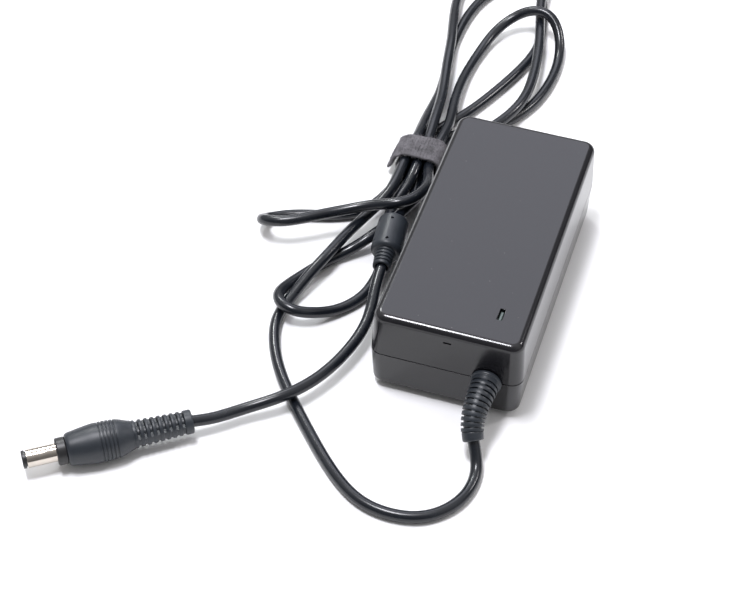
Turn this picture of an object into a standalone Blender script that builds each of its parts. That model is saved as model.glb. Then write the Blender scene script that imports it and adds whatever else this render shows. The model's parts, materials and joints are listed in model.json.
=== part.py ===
"""Laptop power adapter: a two-shell case with its circuit inside, and an output
cord that is bundled by a hook-and-loop strap and ends in a coaxial barrel plug.

Sizes are in millimetres. Every mesh is made in metres, +Z up, with the case
centred over the origin and its rubber feet standing on z = 0. The output end
points to -Y and the mains inlet to +Y.
"""

import math

import bmesh
import bpy
import numpy as np
from mathutils import Matrix, Vector

MM = 0.001
GAP = 0.3                  # clearance left between neighbouring pieces

# ---- case ------------------------------------------------------------------
CASE_WIDTH = 47.2          # at the parting line
CASE_LENGTH = 97.0         # at the parting line
CASE_TOP = 31.0            # height of the top face above the table
CASE_BOTTOM = 2.4          # height of the underside above the table
PARTING_Z = 15.3
UPPER_DRAFT = (0.8, 0.2)   # how far the upper side and end walls lean in at the top
LOWER_DRAFT = 0.6          # how far each lower wall leans in at the bottom
WALL = 2.0
CORNER_RADIUS = 4.0
TOP_FILLET = 2.2
BOTTOM_FILLET = 0.9
LIP_HEIGHT = 1.5           # tongue of the lower shell inside the upper one
LIP_THICKNESS = 0.8
CORNER_STEPS = 6
FILLET_STEPS = 4

# ---- feet and label ----------------------------------------------------------
FOOT_DIAMETER = 8.0
FOOT_INSET = 8.0           # foot centre to the outer wall
LABEL_SIZE = (24.0, 64.0)
LABEL_THICKNESS = 0.2

# ---- power lamp ----------------------------------------------------------------
LAMP_CENTRE = (13.3, -35.9)
LAMP_SIZE = (1.6, 4.6)
LAMP_DEPTH = 0.35          # the window sits this far below the top face
LAMP_CLEARANCE = 0.12      # round the light pipe in its window
LIGHT_PIPE_FLANGE = (0.8, 1.2)      # how far it stands out, and its thickness
LED_DIAMETER = 3.0

# ---- mould mark on the output end ------------------------------------------------
MARK_PLACE = (0.5, 26.8)
MARK_SIZE = (2.4, 0.6)
MARK_DEPTH = 0.5

# ---- mains inlet -----------------------------------------------------------------
SOCKET_SIZE = (24.4, 16.6)
SOCKET_DEPTH = 16.5
SOCKET_CHAMFER = 4.6
INLET_WALL = 1.8
INLET_FLOOR = 3.5
INLET_RECESS = 0.2         # face of the inlet behind the case's end
INLET_FLANGE = 0.7         # rim that holds it behind the wall
PIN_SECTION = (2.0, 4.0)
PIN_PITCH = 14.0           # line to neutral
EARTH_RISE = 4.0
PIN_LENGTH = 15.0          # from the socket's floor to the pin's tip
PIN_TAB = 4.0              # solder tab behind the housing
PIN_BEVEL = 0.35
INLET_SIZE = (SOCKET_SIZE[0] + 2 * INLET_WALL, SOCKET_SIZE[1] + 2 * INLET_WALL)
INLET_Z = CASE_BOTTOM + WALL + GAP + INLET_FLANGE + INLET_SIZE[1] / 2     # on the floor
INLET_DEPTH = SOCKET_DEPTH + INLET_FLOOR

# ---- circuit board -----------------------------------------------------------------
BOARD_CLEARANCE = 0.8      # board edge to the inner wall
BOARD_LIFT = 2.2           # board above the floor of the case
BOARD_UNDERSIDE = CASE_BOTTOM + WALL + BOARD_LIFT
BOARD_THICKNESS = 1.6
SHEET_THICKNESS = 0.4
WIRE_RADIUS = 0.8
POST_RADIUS = 1.8
HEADROOM = 1.0             # above the tallest part
LEG_GAP = 1.0              # board edge behind the inlet

# Parts standing on the board: centre x and y, then size.
ROUND_PARTS = {            # diameter, height, edge
    "fuse": (-14.6, 22.6, 7.4, 7.6, 0.5),
    "thermistor": (-3.4, 21.5, 7.0, 6.0, 1.2),
    "output_capacitor_1": (-5.2, -32.0, 8.4, 19.0, 0.5),
    "output_capacitor_2": (4.2, -32.0, 8.4, 19.0, 0.5),
    "output_choke": (7.4, -40.0, 6.0, 7.0, 0.5),
    "y_capacitor": (-8.6, -23.8, 5.0, 7.0, 1.0),
}
SQUARE_PARTS = {           # length along X, along Y, height, edge
    "x_capacitor": (9.5, 20.9, 17.4, 5.6, 13.0, 0.3),
    "bridge_rectifier": (15.4, 13.4, 3.6, 7.6, 12.0, 0.3),
    "optocoupler": (-13.0, -18.4, 4.6, 5.0, 3.4, 0.3),
    "control_ic": (-14.6, 6.6, 5.0, 4.0, 1.6, 0.2),
}
BULK_CAPACITOR = (5.0, 9.3, 16.0)          # x, y, diameter
CHOKE_PLACE = (-11.3, 13.4)
CHOKE_RADIUS = 6.0
CHOKE_HOLE = 3.2
CHOKE_THICKNESS = 5.0
CHOKE_WIRE = 0.9
WINDING_ARC = 110.0
TRANSFORMER_PLACE = (4.0, -12.6)
CORE_SIZE = (26.0, 14.0, 18.0)
CORE_LEG = 6.0
CORE_SKIN = 1.2            # core above and below its windows
BOBBIN_WALL = 0.8
WINDING_WALL = 1.5
SINK_PLATE = (1.5, 16.0)   # thickness, length
SINK_SHORT = 2.0           # how far it stays below the tallest part
DEVICE_SIZE = (4.5, 10.0, 15.0)
DEVICE_LIFT = 3.0
DEVICE_HOLE = 2.6          # hole centre to the package's top
SCREW_RADIUS = 1.4
SCREW_HEAD = (2.8, 1.8)    # radius, height
PRIMARY_SINK_PLACE = (-18.0, -4.0)
SECONDARY_SINK_PLACE = (-18.0, -30.0)

# ---- output cord and its strain relief -------------------------------------------
CORD_DIAMETER = 3.6
CORD_SIDES_RESOLUTION = 2
BOOT_X = 13.2
BOOT_NECK_RADIUS = 3.6
BOOT_FLANGE_RADIUS = 4.6
BOOT_FLANGE_LENGTH = 1.6
BOOT_BODY_RADIUS = 4.3
BOOT_END_RADIUS = 3.3
BOOT_RIBS = 9
BOOT_GROOVE_DEPTH = 0.55
BOOT_COLLAR_LENGTH = 2.6
BOOT_SIDES = 16

# ---- moulded ferrite bead ------------------------------------------------------------
FERRITE_SLEEVE = 0.7       # jacket between the cord and the ferrite
FERRITE_WALL = 1.2
BEAD_SKIN = 1.0            # jacket outside the ferrite
BEAD_BODY_LENGTH = 14.0
BEAD_END_ROUND = 1.2
BEAD_RELIEF_RADIUS = 3.3
BEAD_RELIEF_TIP_RADIUS = 3.0
BEAD_RELIEF_RIBS = 3
FERRITE_LENGTH = 11.0
PIN_HOLE_RADIUS = 0.45
BORE_GAP = 0.4             # cord to the bead's bore
FERRITE_BORE = CORD_DIAMETER / 2 + BORE_GAP + FERRITE_SLEEVE      # radius
FERRITE_RADIUS = FERRITE_BORE + FERRITE_WALL
BEAD_RADIUS = FERRITE_RADIUS + BEAD_SKIN

# ---- barrel plug -------------------------------------------------------------------------
PLUG_TIP = (-108.0, -112.5, 6.0)
BARREL_DIAMETER = 5.5
BARREL_WALL = 0.4
BARREL_LENGTH = 10.0       # collar to tip, with the insulator's rim
BARREL_CLEARANCE = 0.15    # between the barrel, the insulator and the contact
INSULATOR_WALL = 0.5
INSULATOR_RIM = 1.0        # its rim covers the barrel's end
INSULATOR_EDGE = 0.25
CONTACT_WALL = 0.3
CONTACT_RECESS = 0.6
COLLAR_DIAMETER = 8.2
COLLAR_LENGTH = 3.0
COLLAR_EDGE = 0.4
BARREL_SEAT = 1.5          # how deep the barrel sits in the collar
PLUG_RADIUS = 5.9
PLUG_FRONT_RADIUS = 4.9
PLUG_BACK_RADIUS = 4.5
PLUG_LENGTH = 19.6
PLUG_RINGS = 4
PLUG_RELIEF_RADIUS = 4.0
PLUG_RELIEF_END_RADIUS = 3.5
PLUG_RELIEF_SLOTS = 8
PLUG_RELIEF_COLLAR = 2.2

# ---- hook-and-loop strap ------------------------------------------------------------------
STRAP_WIDTH = 11.0
STRAP_THICKNESS = 1.1
STRAP_Y = 50.0
STRAP_REACH = 3.0          # the cord is drawn point by point this far past the strap
STRAP_CENTRE = (-36.15, 5.45)
STRAP_INNER = (6.5, 4.3)   # half width and half height round the bundle
STRAP_CORNER = 2.3

# The cord's centre line, boot to plug. It is drawn as the cord lies: the six
# strands side by side in the strap, three loops beyond it, two loops before it.
ROUTE = [
    # out of the boot, round the front and back to the strap
    (14.0, -65.0, 8.0), (15.5, -67.5, 5.5), (17.0, -71.0, 3.0), (17.5, -76.0, 2.0),
    (15.5, -84.0, 2.0), (9.0, -91.5, 2.0), (0.0, -94.5, 2.0), (-11.0, -93.0, 2.0),
    (-22.0, -85.5, 2.0), (-34.0, -73.0, 2.0), (-45.5, -59.5, 2.0), (-53.5, -47.5, 2.0),
    (-58.2, -34.5, 2.0), (-57.7, -26.0, 2.5), (-54.5, -15.5, 5.0), (-51.0, -4.5, 6.4),
    (-47.5, 10.0, 5.7), (-42.5, 23.5, 6.5), (-40.6, 31.0, 7.6), (-40.5, 43.5, 7.5),
    # inner far loop
    (-40.0, 57.0, 7.5), (-40.5, 65.0, 5.8), (-41.0, 78.0, 3.0), (-41.0, 90.5, 2.0),
    (-43.0, 108.0, 2.0), (-44.0, 122.0, 2.0), (-43.0, 138.0, 2.0), (-39.0, 151.0, 2.0),
    (-31.5, 158.5, 2.0), (-22.5, 157.5, 2.0), (-18.3, 149.5, 2.0), (-14.5, 132.0, 2.0),
    (-15.0, 119.0, 2.0), (-19.5, 103.5, 2.0), (-29.0, 81.0, 2.0), (-36.0, 69.5, 2.0),
    (-39.0, 63.0, 2.5), (-40.0, 57.0, 3.4),
    # long narrow loop on the left
    (-40.3, 44.0, 3.4), (-42.5, 34.0, 2.5), (-47.0, 24.0, 2.0), (-54.0, 18.5, 2.0),
    (-62.5, 15.5, 2.0), (-70.0, 13.0, 2.0), (-75.0, 10.0, 2.3), (-77.2, 6.0, 4.5),
    (-75.0, 2.2, 8.0), (-68.5, 2.2, 9.5), (-58.5, 8.0, 10.0), (-51.0, 12.5, 10.5),
    (-43.5, 15.5, 12.0), (-36.5, 16.5, 14.0), (-31.5, 19.5, 14.5), (-28.8, 27.0, 13.0),
    (-29.6, 35.5, 10.0), (-31.9, 44.5, 7.5),
    # near loop behind the case
    (-32.0, 57.0, 7.5), (-31.9, 69.0, 6.5), (-33.7, 83.0, 5.0), (-34.7, 101.0, 2.8),
    (-33.3, 116.0, 2.6), (-30.5, 127.0, 4.2), (-25.5, 133.5, 7.0), (-19.5, 135.5, 9.8),
    (-13.5, 135.0, 10.0), (-8.5, 131.0, 7.0), (-5.5, 122.5, 3.0), (-5.0, 109.0, 2.0),
    (-7.5, 95.0, 2.0), (-12.5, 84.0, 2.0), (-19.0, 76.0, 2.0), (-27.0, 70.5, 2.0),
    (-33.2, 64.5, 2.6), (-35.8, 57.0, 3.4),
    # round loop in front of the narrow one
    (-35.8, 44.0, 3.4), (-34.2, 35.0, 2.6), (-34.0, 27.0, 3.6), (-35.5, 19.5, 5.6),
    (-38.0, 13.0, 6.0), (-41.5, 7.0, 5.4), (-46.0, 2.5, 3.2), (-52.0, -4.0, 2.0),
    (-57.0, -12.0, 2.0), (-60.0, -20.0, 3.6), (-60.3, -26.0, 5.4), (-57.5, -30.0, 6.1),
    (-52.5, -31.0, 5.6), (-47.0, -28.3, 4.0), (-41.5, -23.2, 2.2), (-36.5, -16.0, 2.0),
    (-34.5, -7.0, 2.0), (-34.8, 3.0, 2.0), (-36.5, 12.0, 2.0), (-38.8, 21.0, 2.0),
    (-38.5, 29.0, 3.6), (-36.4, 36.5, 6.1), (-36.0, 44.0, 7.4),
    # outer far loop
    (-36.0, 57.0, 7.5), (-37.0, 69.0, 7.5), (-38.5, 83.0, 6.5), (-41.5, 99.5, 6.1),
    (-44.0, 114.0, 6.1), (-47.0, 127.5, 5.0), (-49.5, 142.0, 3.5), (-49.0, 155.0, 3.0),
    (-42.5, 166.0, 3.5), (-31.0, 171.5, 4.5), (-21.8, 165.5, 5.8), (-19.0, 150.0, 6.1),
    (-15.8, 134.0, 6.1), (-12.5, 118.0, 6.1), (-10.5, 99.5, 6.1), (-11.5, 87.0, 6.1),
    (-15.5, 77.0, 5.5), (-21.5, 69.0, 4.5), (-28.0, 63.5, 3.6), (-31.8, 56.5, 3.4),
    # through the bead and out to the plug
    (-31.8, 44.0, 3.5), (-31.0, 36.0, 5.0), (-31.3, 28.0, 7.5), (-34.0, 12.0, 11.0),
    (-33.0, 1.75, 10.25), (-32.0, -8.5, 9.5), (-31.2, -17.5, 8.7), (-30.0, -29.0, 7.2),
    (-32.0, -42.0, 6.2), (-37.5, -56.0, 6.0), (-45.5, -66.5, 6.0), (-54.0, -73.0, 5.0),
    (-61.5, -79.5, 5.2), (-67.0, -83.5, 6.0),
]
BEAD_BACK = ROUTE.index((-34.0, 12.0, 11.0))     # route points at the two ends of the bead
BEAD_FRONT = ROUTE.index((-32.0, -8.5, 9.5))
ROUTE_CASE = (47.2, 97.0)  # width and length of the case that the route is drawn round
TURN_PER_POINT = 22.0      # degrees of bend between two points of the cord's tube
LONGEST_STEP = 26.0
SMOOTHING_SAMPLES = 12


# ---- materials -----------------------------------------------------------------------------

def material(name, colour, roughness, metallic=0.0):
    """A plain Principled material."""
    made = bpy.data.materials.new(name)
    made.use_nodes = True
    shader = made.node_tree.nodes["Principled BSDF"]
    shader.inputs["Base Color"].default_value = (*colour, 1.0)
    shader.inputs["Roughness"].default_value = roughness
    shader.inputs["Metallic"].default_value = metallic
    return made


# ---- mesh helpers --------------------------------------------------------------------------

def add_object(name, bm, finish, smooth_angle=40.0):
    """Turns a bmesh in millimetres into an object in metres."""
    bmesh.ops.scale(bm, vec=(MM, MM, MM), verts=bm.verts)
    bmesh.ops.recalc_face_normals(bm, faces=bm.faces)
    mesh = bpy.data.meshes.new(name)
    bm.to_mesh(mesh)
    bm.free()
    mesh.shade_smooth()
    mesh.set_sharp_from_angle(angle=math.radians(smooth_angle))
    if finish:
        mesh.materials.append(finish)
    obj = bpy.data.objects.new(name, mesh)
    bpy.context.scene.collection.objects.link(obj)
    return obj


def skin(rings):
    """A closed body through rings with the same number of points, capped at both ends."""
    bm = bmesh.new()
    loops = [[bm.verts.new(point) for point in ring] for ring in rings]
    count = len(loops[0])
    for lower, upper in zip(loops, loops[1:]):
        for i in range(count):
            j = (i + 1) % count
            bm.faces.new((lower[i], lower[j], upper[j], upper[i]))
    bm.faces.new(loops[0])
    bm.faces.new(reversed(loops[-1]))
    return bm


def closed_skin(rings):
    """A ring-shaped body: like skin, but the last ring joins the first."""
    bm = bmesh.new()
    loops = [[bm.verts.new(point) for point in ring] for ring in rings]
    count = len(loops[0])
    for k, lower in enumerate(loops):
        upper = loops[(k + 1) % len(loops)]
        for i in range(count):
            j = (i + 1) % count
            bm.faces.new((lower[i], lower[j], upper[j], upper[i]))
    return bm


def rounded_ring(half_x, half_y, radius, z):
    """Points round a rectangle with rounded corners at height z."""
    points = []
    for corner, (sx, sy) in enumerate(((1, 1), (-1, 1), (-1, -1), (1, -1))):
        for step in range(CORNER_STEPS + 1):
            angle = math.radians(90.0 * (corner + step / CORNER_STEPS))
            points.append((sx * (half_x - radius) + radius * math.cos(angle),
                           sy * (half_y - radius) + radius * math.sin(angle), z))
    return points


def box_mesh(centre, size, bevel=0.0):
    """A box in millimetres with softened edges."""
    bm = bmesh.new()
    bmesh.ops.create_cube(bm, size=1.0)
    bmesh.ops.scale(bm, vec=size, verts=bm.verts)
    bmesh.ops.translate(bm, vec=centre, verts=bm.verts)
    if bevel:
        bmesh.ops.bevel(bm, geom=bm.edges[:], offset=bevel, segments=1, affect="EDGES")
    return bm


def turned(profile, sides, ring=False):
    """A body turned round Z from (radius, height) pairs; a ring joins its own ends."""
    rings = []
    for radius, height in profile:
        rings.append([(radius * math.cos(2 * math.pi * i / sides),
                       radius * math.sin(2 * math.pi * i / sides), height)
                      for i in range(sides)])
    return closed_skin(rings) if ring else skin(rings)


def tube_profile(outer, inner, start, end):
    """The four corners of a tube's wall."""
    return [(inner, start), (outer, start), (outer, end), (inner, end)]


def aim(bm, origin, direction):
    """Turns a body's +Z to a direction and moves its origin."""
    turn = Vector(direction).to_track_quat("Z", "Y").to_matrix().to_4x4()
    bmesh.ops.transform(bm, matrix=Matrix.Translation(origin) @ turn, verts=bm.verts)
    return bm


def cutter(name, bm):
    """A helper body for Booleans, left out of the model."""
    obj = add_object(name, bm, None)
    obj.hide_render = True
    obj.display_type = "WIRE"
    return obj


def cut(obj, *tools):
    for tool in tools:
        step = obj.modifiers.new("cut " + tool.name, "BOOLEAN")
        step.operation = "DIFFERENCE"
        step.solver = "EXACT"
        step.object = tool


def round_bar(name, points, radius, finish, resolution=1):
    """A wire or cord: a curve with filled caps through the given points."""
    curve = bpy.data.curves.new(name, "CURVE")
    curve.dimensions = "3D"
    curve.bevel_depth = radius * MM
    curve.bevel_resolution = resolution
    curve.use_fill_caps = True
    spline = curve.splines.new("POLY")
    spline.points.add(len(points) - 1)
    for place, point in zip(spline.points, points):
        place.co = (point[0] * MM, point[1] * MM, point[2] * MM, 1.0)
    curve.materials.append(finish)
    obj = bpy.data.objects.new(name, curve)
    bpy.context.scene.collection.objects.link(obj)
    return obj


# ---- smooth curve through the route ------------------------------------------------------

def smooth_curve(points, samples):
    """A cubic spline with steady curvature through points, read at equal steps."""
    p = np.array(points, dtype=float)
    chord = np.linalg.norm(np.diff(p, axis=0), axis=1) ** 0.5
    n = len(p)
    system = np.zeros((n, n))
    right = np.zeros((n, 3))
    system[0, 0] = system[-1, -1] = 1.0
    for i in range(1, n - 1):
        before, after = chord[i - 1], chord[i]
        system[i, i - 1:i + 2] = before, 2.0 * (before + after), after
        right[i] = 6.0 * ((p[i + 1] - p[i]) / after - (p[i] - p[i - 1]) / before)
    second = np.linalg.solve(system, right)
    curve = []
    for i, span in enumerate(chord):
        for s in np.arange(samples) / samples * span:
            rest = span - s
            curve.append((second[i] * rest ** 3 + second[i + 1] * s ** 3) / (6.0 * span)
                         + (p[i] / span - second[i] * span / 6.0) * rest
                         + (p[i + 1] / span - second[i + 1] * span / 6.0) * s)
    curve.append(p[-1])
    return np.array(curve)


def thin_out(curve, keep):
    """Fewer points: a new one after each set turn or length, and at each place in keep."""
    steps = np.diff(curve, axis=0)
    lengths = np.linalg.norm(steps, axis=1)
    ways = steps / lengths[:, None]
    chosen = [0]
    turned_by = run = 0.0
    for i in range(1, len(curve) - 1):
        turned_by += math.degrees(math.acos(min(1.0, float(ways[i - 1] @ ways[i]))))
        run += lengths[i - 1]
        if turned_by >= TURN_PER_POINT or run >= LONGEST_STEP or i in keep:
            chosen.append(i)
            turned_by = run = 0.0
    chosen.append(len(curve) - 1)
    return curve[chosen]


def beside_case(point):
    """A place of the lead, moved out with the case's walls when the case changes size."""
    moved = []
    for place, drawn, now in zip(point[:2], ROUTE_CASE, (CASE_WIDTH, CASE_LENGTH)):
        half, shift = drawn / 2, (now - drawn) / 2
        moved.append(place + shift * max(-1.0, min(1.0, place / half)))
    return (*moved, *point[2:])


LEAD = [beside_case(point) for point in ROUTE]
TIP = beside_case(PLUG_TIP)
STRAP_X, STRAP_MIDDLE = beside_case((STRAP_CENTRE[0], STRAP_Y))


# ---- case ------------------------------------------------------------------------------------

def outer_half(z):
    """Half width and half length of the case's outside at height z."""
    if z >= PARTING_Z:
        share = (z - PARTING_Z) / (CASE_TOP - PARTING_Z)
        side, end = (draft * share for draft in UPPER_DRAFT)
    else:
        side = end = LOWER_DRAFT * (PARTING_Z - z) / (PARTING_Z - CASE_BOTTOM)
    return CASE_WIDTH / 2 - side, CASE_LENGTH / 2 - end


def case_ring(z, inset, radius=None):
    half_x, half_y = outer_half(z)
    corner = max(CORNER_RADIUS - inset, 0.6) if radius is None else radius
    return rounded_ring(half_x - inset, half_y - inset, corner, z)


def fillet_rings(end_z, fillet, direction):
    """Rings that round the edge between the side walls and a flat end face."""
    rings = []
    for step in range(FILLET_STEPS + 1):
        angle = math.radians(90.0 * step / FILLET_STEPS)
        z = end_z - direction * fillet * (1.0 - math.sin(angle))
        rings.append(case_ring(z, fillet * (1.0 - math.cos(angle))))
    return rings


def case_cutters():
    """Openings for the cord's boot, the mains inlet, the lamp and a small mould mark."""
    hole = BOOT_NECK_RADIUS + GAP
    boot = aim(turned([(hole, -WALL), (hole, 2 * WALL)], BOOT_SIDES),
               (BOOT_X, -CASE_LENGTH / 2, PARTING_Z), (0.0, 1.0, 0.0))
    inlet = box_mesh((0.0, CASE_LENGTH / 2, INLET_Z),
                     (INLET_SIZE[0] + 2 * GAP, 3 * WALL + 2 * LOWER_DRAFT,
                      INLET_SIZE[1] + 2 * GAP))
    lamp = box_mesh((*LAMP_CENTRE, CASE_TOP), (*LAMP_SIZE, 3 * WALL))
    mark = box_mesh((MARK_PLACE[0], -CASE_LENGTH / 2, MARK_PLACE[1]),
                    (MARK_SIZE[0], 2 * MARK_DEPTH, MARK_SIZE[1]))
    return (cutter("cut_boot", boot), cutter("cut_inlet", inlet),
            cutter("cut_lamp", lamp), cutter("cut_mark", mark))


def make_case(plastic):
    boot, inlet, lamp, mark = case_cutters()
    rebate = WALL - LIP_THICKNESS - GAP
    rebate_top = PARTING_Z + LIP_HEIGHT + GAP
    rim = PARTING_Z + GAP / 2
    rings = [case_ring(CASE_TOP - WALL, WALL), case_ring(rebate_top, WALL),
             case_ring(rebate_top, rebate), case_ring(rim, rebate), case_ring(rim, 0.0)]
    rings += fillet_rings(CASE_TOP, TOP_FILLET, 1.0)
    cut(add_object("upper_case", skin(rings), plastic), boot, inlet, lamp, mark)

    lip_outer = WALL - LIP_THICKNESS
    rim = PARTING_Z - GAP / 2
    floor = CASE_BOTTOM + WALL
    lip_top = PARTING_Z + LIP_HEIGHT
    rings = [case_ring(floor, WALL), case_ring(rim, WALL), case_ring(lip_top, WALL),
             case_ring(lip_top, lip_outer), case_ring(rim, lip_outer), case_ring(rim, 0.0)]
    rings += fillet_rings(CASE_BOTTOM, BOTTOM_FILLET, -1.0)
    lower = add_object("lower_case", skin(rings), plastic)
    half_x, front, back = board_extent()
    for number, (x, y) in enumerate(((-1, front), (1, front), (1, back), (-1, back)), start=1):
        place = (x * (half_x - 1.5 * POST_RADIUS), y - math.copysign(1.5 * POST_RADIUS, y),
                 CASE_BOTTOM + WALL / 2)
        post = turned([(POST_RADIUS, 0.0),
                       (POST_RADIUS, BOARD_UNDERSIDE - GAP - place[2])], 12)
        bmesh.ops.translate(post, vec=place, verts=post.verts)
        join = lower.modifiers.new(f"post {number}", "BOOLEAN")
        join.operation = "UNION"
        join.solver = "EXACT"
        join.object = cutter(f"join_post_{number}", post)
    cut(lower, boot, inlet)


def make_feet(rubber, paper):
    height = CASE_BOTTOM - GAP
    half_x, half_y = outer_half(CASE_BOTTOM)
    profile = [(FOOT_DIAMETER / 2 - 0.3, 0.0), (FOOT_DIAMETER / 2, 0.25),
               (FOOT_DIAMETER / 2, height)]
    corners = ((-1, -1), (1, -1), (1, 1), (-1, 1))
    for number, (sx, sy) in enumerate(corners, start=1):
        place = (sx * (half_x - FOOT_INSET), sy * (half_y - FOOT_INSET), 0.0)
        bm = turned(profile, 20)
        bmesh.ops.translate(bm, vec=place, verts=bm.verts)
        add_object(f"rubber_foot_{number}", bm, rubber)
    middle = height - LABEL_THICKNESS / 2
    add_object("rating_label", box_mesh((0.0, 0.0, middle), (*LABEL_SIZE, LABEL_THICKNESS)),
               paper)


# ---- mains inlet ---------------------------------------------------------------------------------

def socket_ring(half_x, half_z, chamfer, y):
    """The inlet's six-sided outline, chamfered on its upper corners."""
    outline = [(-half_x, -half_z), (half_x, -half_z), (half_x, half_z - chamfer),
               (half_x - chamfer, half_z), (-half_x + chamfer, half_z),
               (-half_x, half_z - chamfer)]
    return [(x, y, INLET_Z + z) for x, z in outline]


def make_inlet(plastic, metal):
    face = CASE_LENGTH / 2 - INLET_RECESS
    back = face - INLET_DEPTH
    floor = face - SOCKET_DEPTH
    below = PARTING_Z - INLET_Z + INLET_SIZE[1] / 2 + INLET_FLANGE
    lean = LOWER_DRAFT * below / (PARTING_Z - CASE_BOTTOM)
    flange = CASE_LENGTH / 2 - WALL - GAP - lean
    rings = []
    for y, grow in ((face, 0.0), (flange, 0.0), (flange, INLET_FLANGE),
                    (flange - INLET_FLANGE, INLET_FLANGE), (flange - INLET_FLANGE, 0.0),
                    (back, 0.0)):
        half_x, half_z = INLET_SIZE[0] / 2 + grow, INLET_SIZE[1] / 2 + grow
        rings.append([(sx * half_x, y, INLET_Z + sz * half_z)
                      for sx, sz in ((1, 1), (-1, 1), (-1, -1), (1, -1))])
    housing = add_object("inlet_housing", skin(rings), plastic)
    half_x, half_z = SOCKET_SIZE[0] / 2, SOCKET_SIZE[1] / 2
    hollow = skin([socket_ring(half_x, half_z, SOCKET_CHAMFER, floor),
                   socket_ring(half_x, half_z, SOCKET_CHAMFER, face + 1.0)])
    cut(housing, cutter("cut_socket", hollow))
    pins = {"line_pin": (-PIN_PITCH / 2, 0.0), "neutral_pin": (PIN_PITCH / 2, 0.0),
            "earth_pin": (0.0, EARTH_RISE)}
    for name, (x, rise) in pins.items():
        start, end = back - PIN_TAB, floor + PIN_LENGTH
        size = (PIN_SECTION[0], end - start, PIN_SECTION[1])
        centre = (x, (start + end) / 2, INLET_Z + rise)
        add_object(name, box_mesh(centre, size, bevel=PIN_BEVEL), metal)
        slot = box_mesh((x, (back + floor) / 2, INLET_Z + rise),
                        (size[0] + GAP, floor - back + 2.0, size[2] + GAP))
        cut(housing, cutter("cut_" + name, slot))


# ---- circuit ----------------------------------------------------------------------------------------

def board_extent():
    """Half width, front and back edge of the circuit board."""
    half_x, half_y = outer_half(BOARD_UNDERSIDE)
    back = CASE_LENGTH / 2 - INLET_RECESS - INLET_DEPTH - LEG_GAP
    return half_x - WALL - BOARD_CLEARANCE, -half_y + WALL + BOARD_CLEARANCE, back


BOARD_TOP = BOARD_UNDERSIDE + BOARD_THICKNESS
SEAT = BOARD_TOP + GAP     # where the parts on the board start
ROOM = CASE_TOP - WALL - SEAT - HEADROOM     # height left for the tallest part


def standing(name, finish, x, y, diameter, height, edge=0.5):
    """A round part standing on the board."""
    radius = diameter / 2
    bm = turned([(radius - edge, 0.0), (radius, edge), (radius, height - edge),
                 (radius - edge, height)], 20)
    bmesh.ops.translate(bm, vec=(x, y, SEAT), verts=bm.verts)
    return add_object(name, bm, finish)


def block(name, finish, x, y, long, wide, high, edge):
    """A square part standing on the board."""
    return add_object(name, box_mesh((x, y, SEAT + high / 2), (long, wide, high), edge), finish)


def make_board(laminate, film):
    half_x, front, back = board_extent()
    size = (2 * half_x, back - front, BOARD_THICKNESS)
    middle = (0.0, (front + back) / 2, BOARD_UNDERSIDE + BOARD_THICKNESS / 2)
    add_object("main_board", box_mesh(middle, size), laminate)
    low = CASE_BOTTOM + WALL + GAP + SHEET_THICKNESS / 2
    narrow = outer_half(CASE_BOTTOM + WALL)[0] - WALL - BOARD_CLEARANCE
    sheet = box_mesh((0.0, middle[1], low),
                     (2 * narrow, size[1] - 6 * POST_RADIUS, SHEET_THICKNESS))
    add_object("insulation_sheet", sheet, film)


def make_choke(ferrite, copper, x, y):
    """A toroid on edge with one winding on each side of it."""
    wire, half = CHOKE_WIRE, CHOKE_THICKNESS / 2
    centre = Vector((x, y, SEAT + CHOKE_RADIUS + wire + GAP))
    core = turned(tube_profile(CHOKE_RADIUS, CHOKE_HOLE, -half, half), 24, ring=True)
    add_object("choke_core", aim(core, centre, (0.0, 1.0, 0.0)), ferrite)
    for number, middle in ((1, 0.0), (2, 180.0)):
        rings = []
        steps = 8
        for step in range(steps + 1):
            angle = math.radians(middle + WINDING_ARC * (step / steps - 0.5))
            out = Vector((math.cos(angle), 0.0, math.sin(angle)))
            inside, outside = CHOKE_HOLE - GAP, CHOKE_RADIUS + 2 * GAP
            side = half + GAP
            ring = []
            for grow in (0.0, wire):
                ring.append([centre + out * (outside + grow) + Vector((0, side + grow, 0)),
                             centre + out * (inside - grow) + Vector((0, side + grow, 0)),
                             centre + out * (inside - grow) - Vector((0, side + grow, 0)),
                             centre + out * (outside + grow) - Vector((0, side + grow, 0))])
            rings.append(ring)
        add_object(f"choke_winding_{number}", sleeve(rings), copper)


def sleeve(sections):
    """A tube with a square hole, from pairs of inner and outer outlines."""
    bm = bmesh.new()
    made = [[[bm.verts.new(p) for p in loop] for loop in pair] for pair in sections]
    for near, far in zip(made, made[1:]):
        for layer in range(2):
            for i in range(4):
                j = (i + 1) % 4
                bm.faces.new((near[layer][i], near[layer][j], far[layer][j], far[layer][i]))
    for inner, outer in (made[0], made[-1]):
        for i in range(4):
            j = (i + 1) % 4
            bm.faces.new((inner[i], inner[j], outer[j], outer[i]))
    return bm


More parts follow.
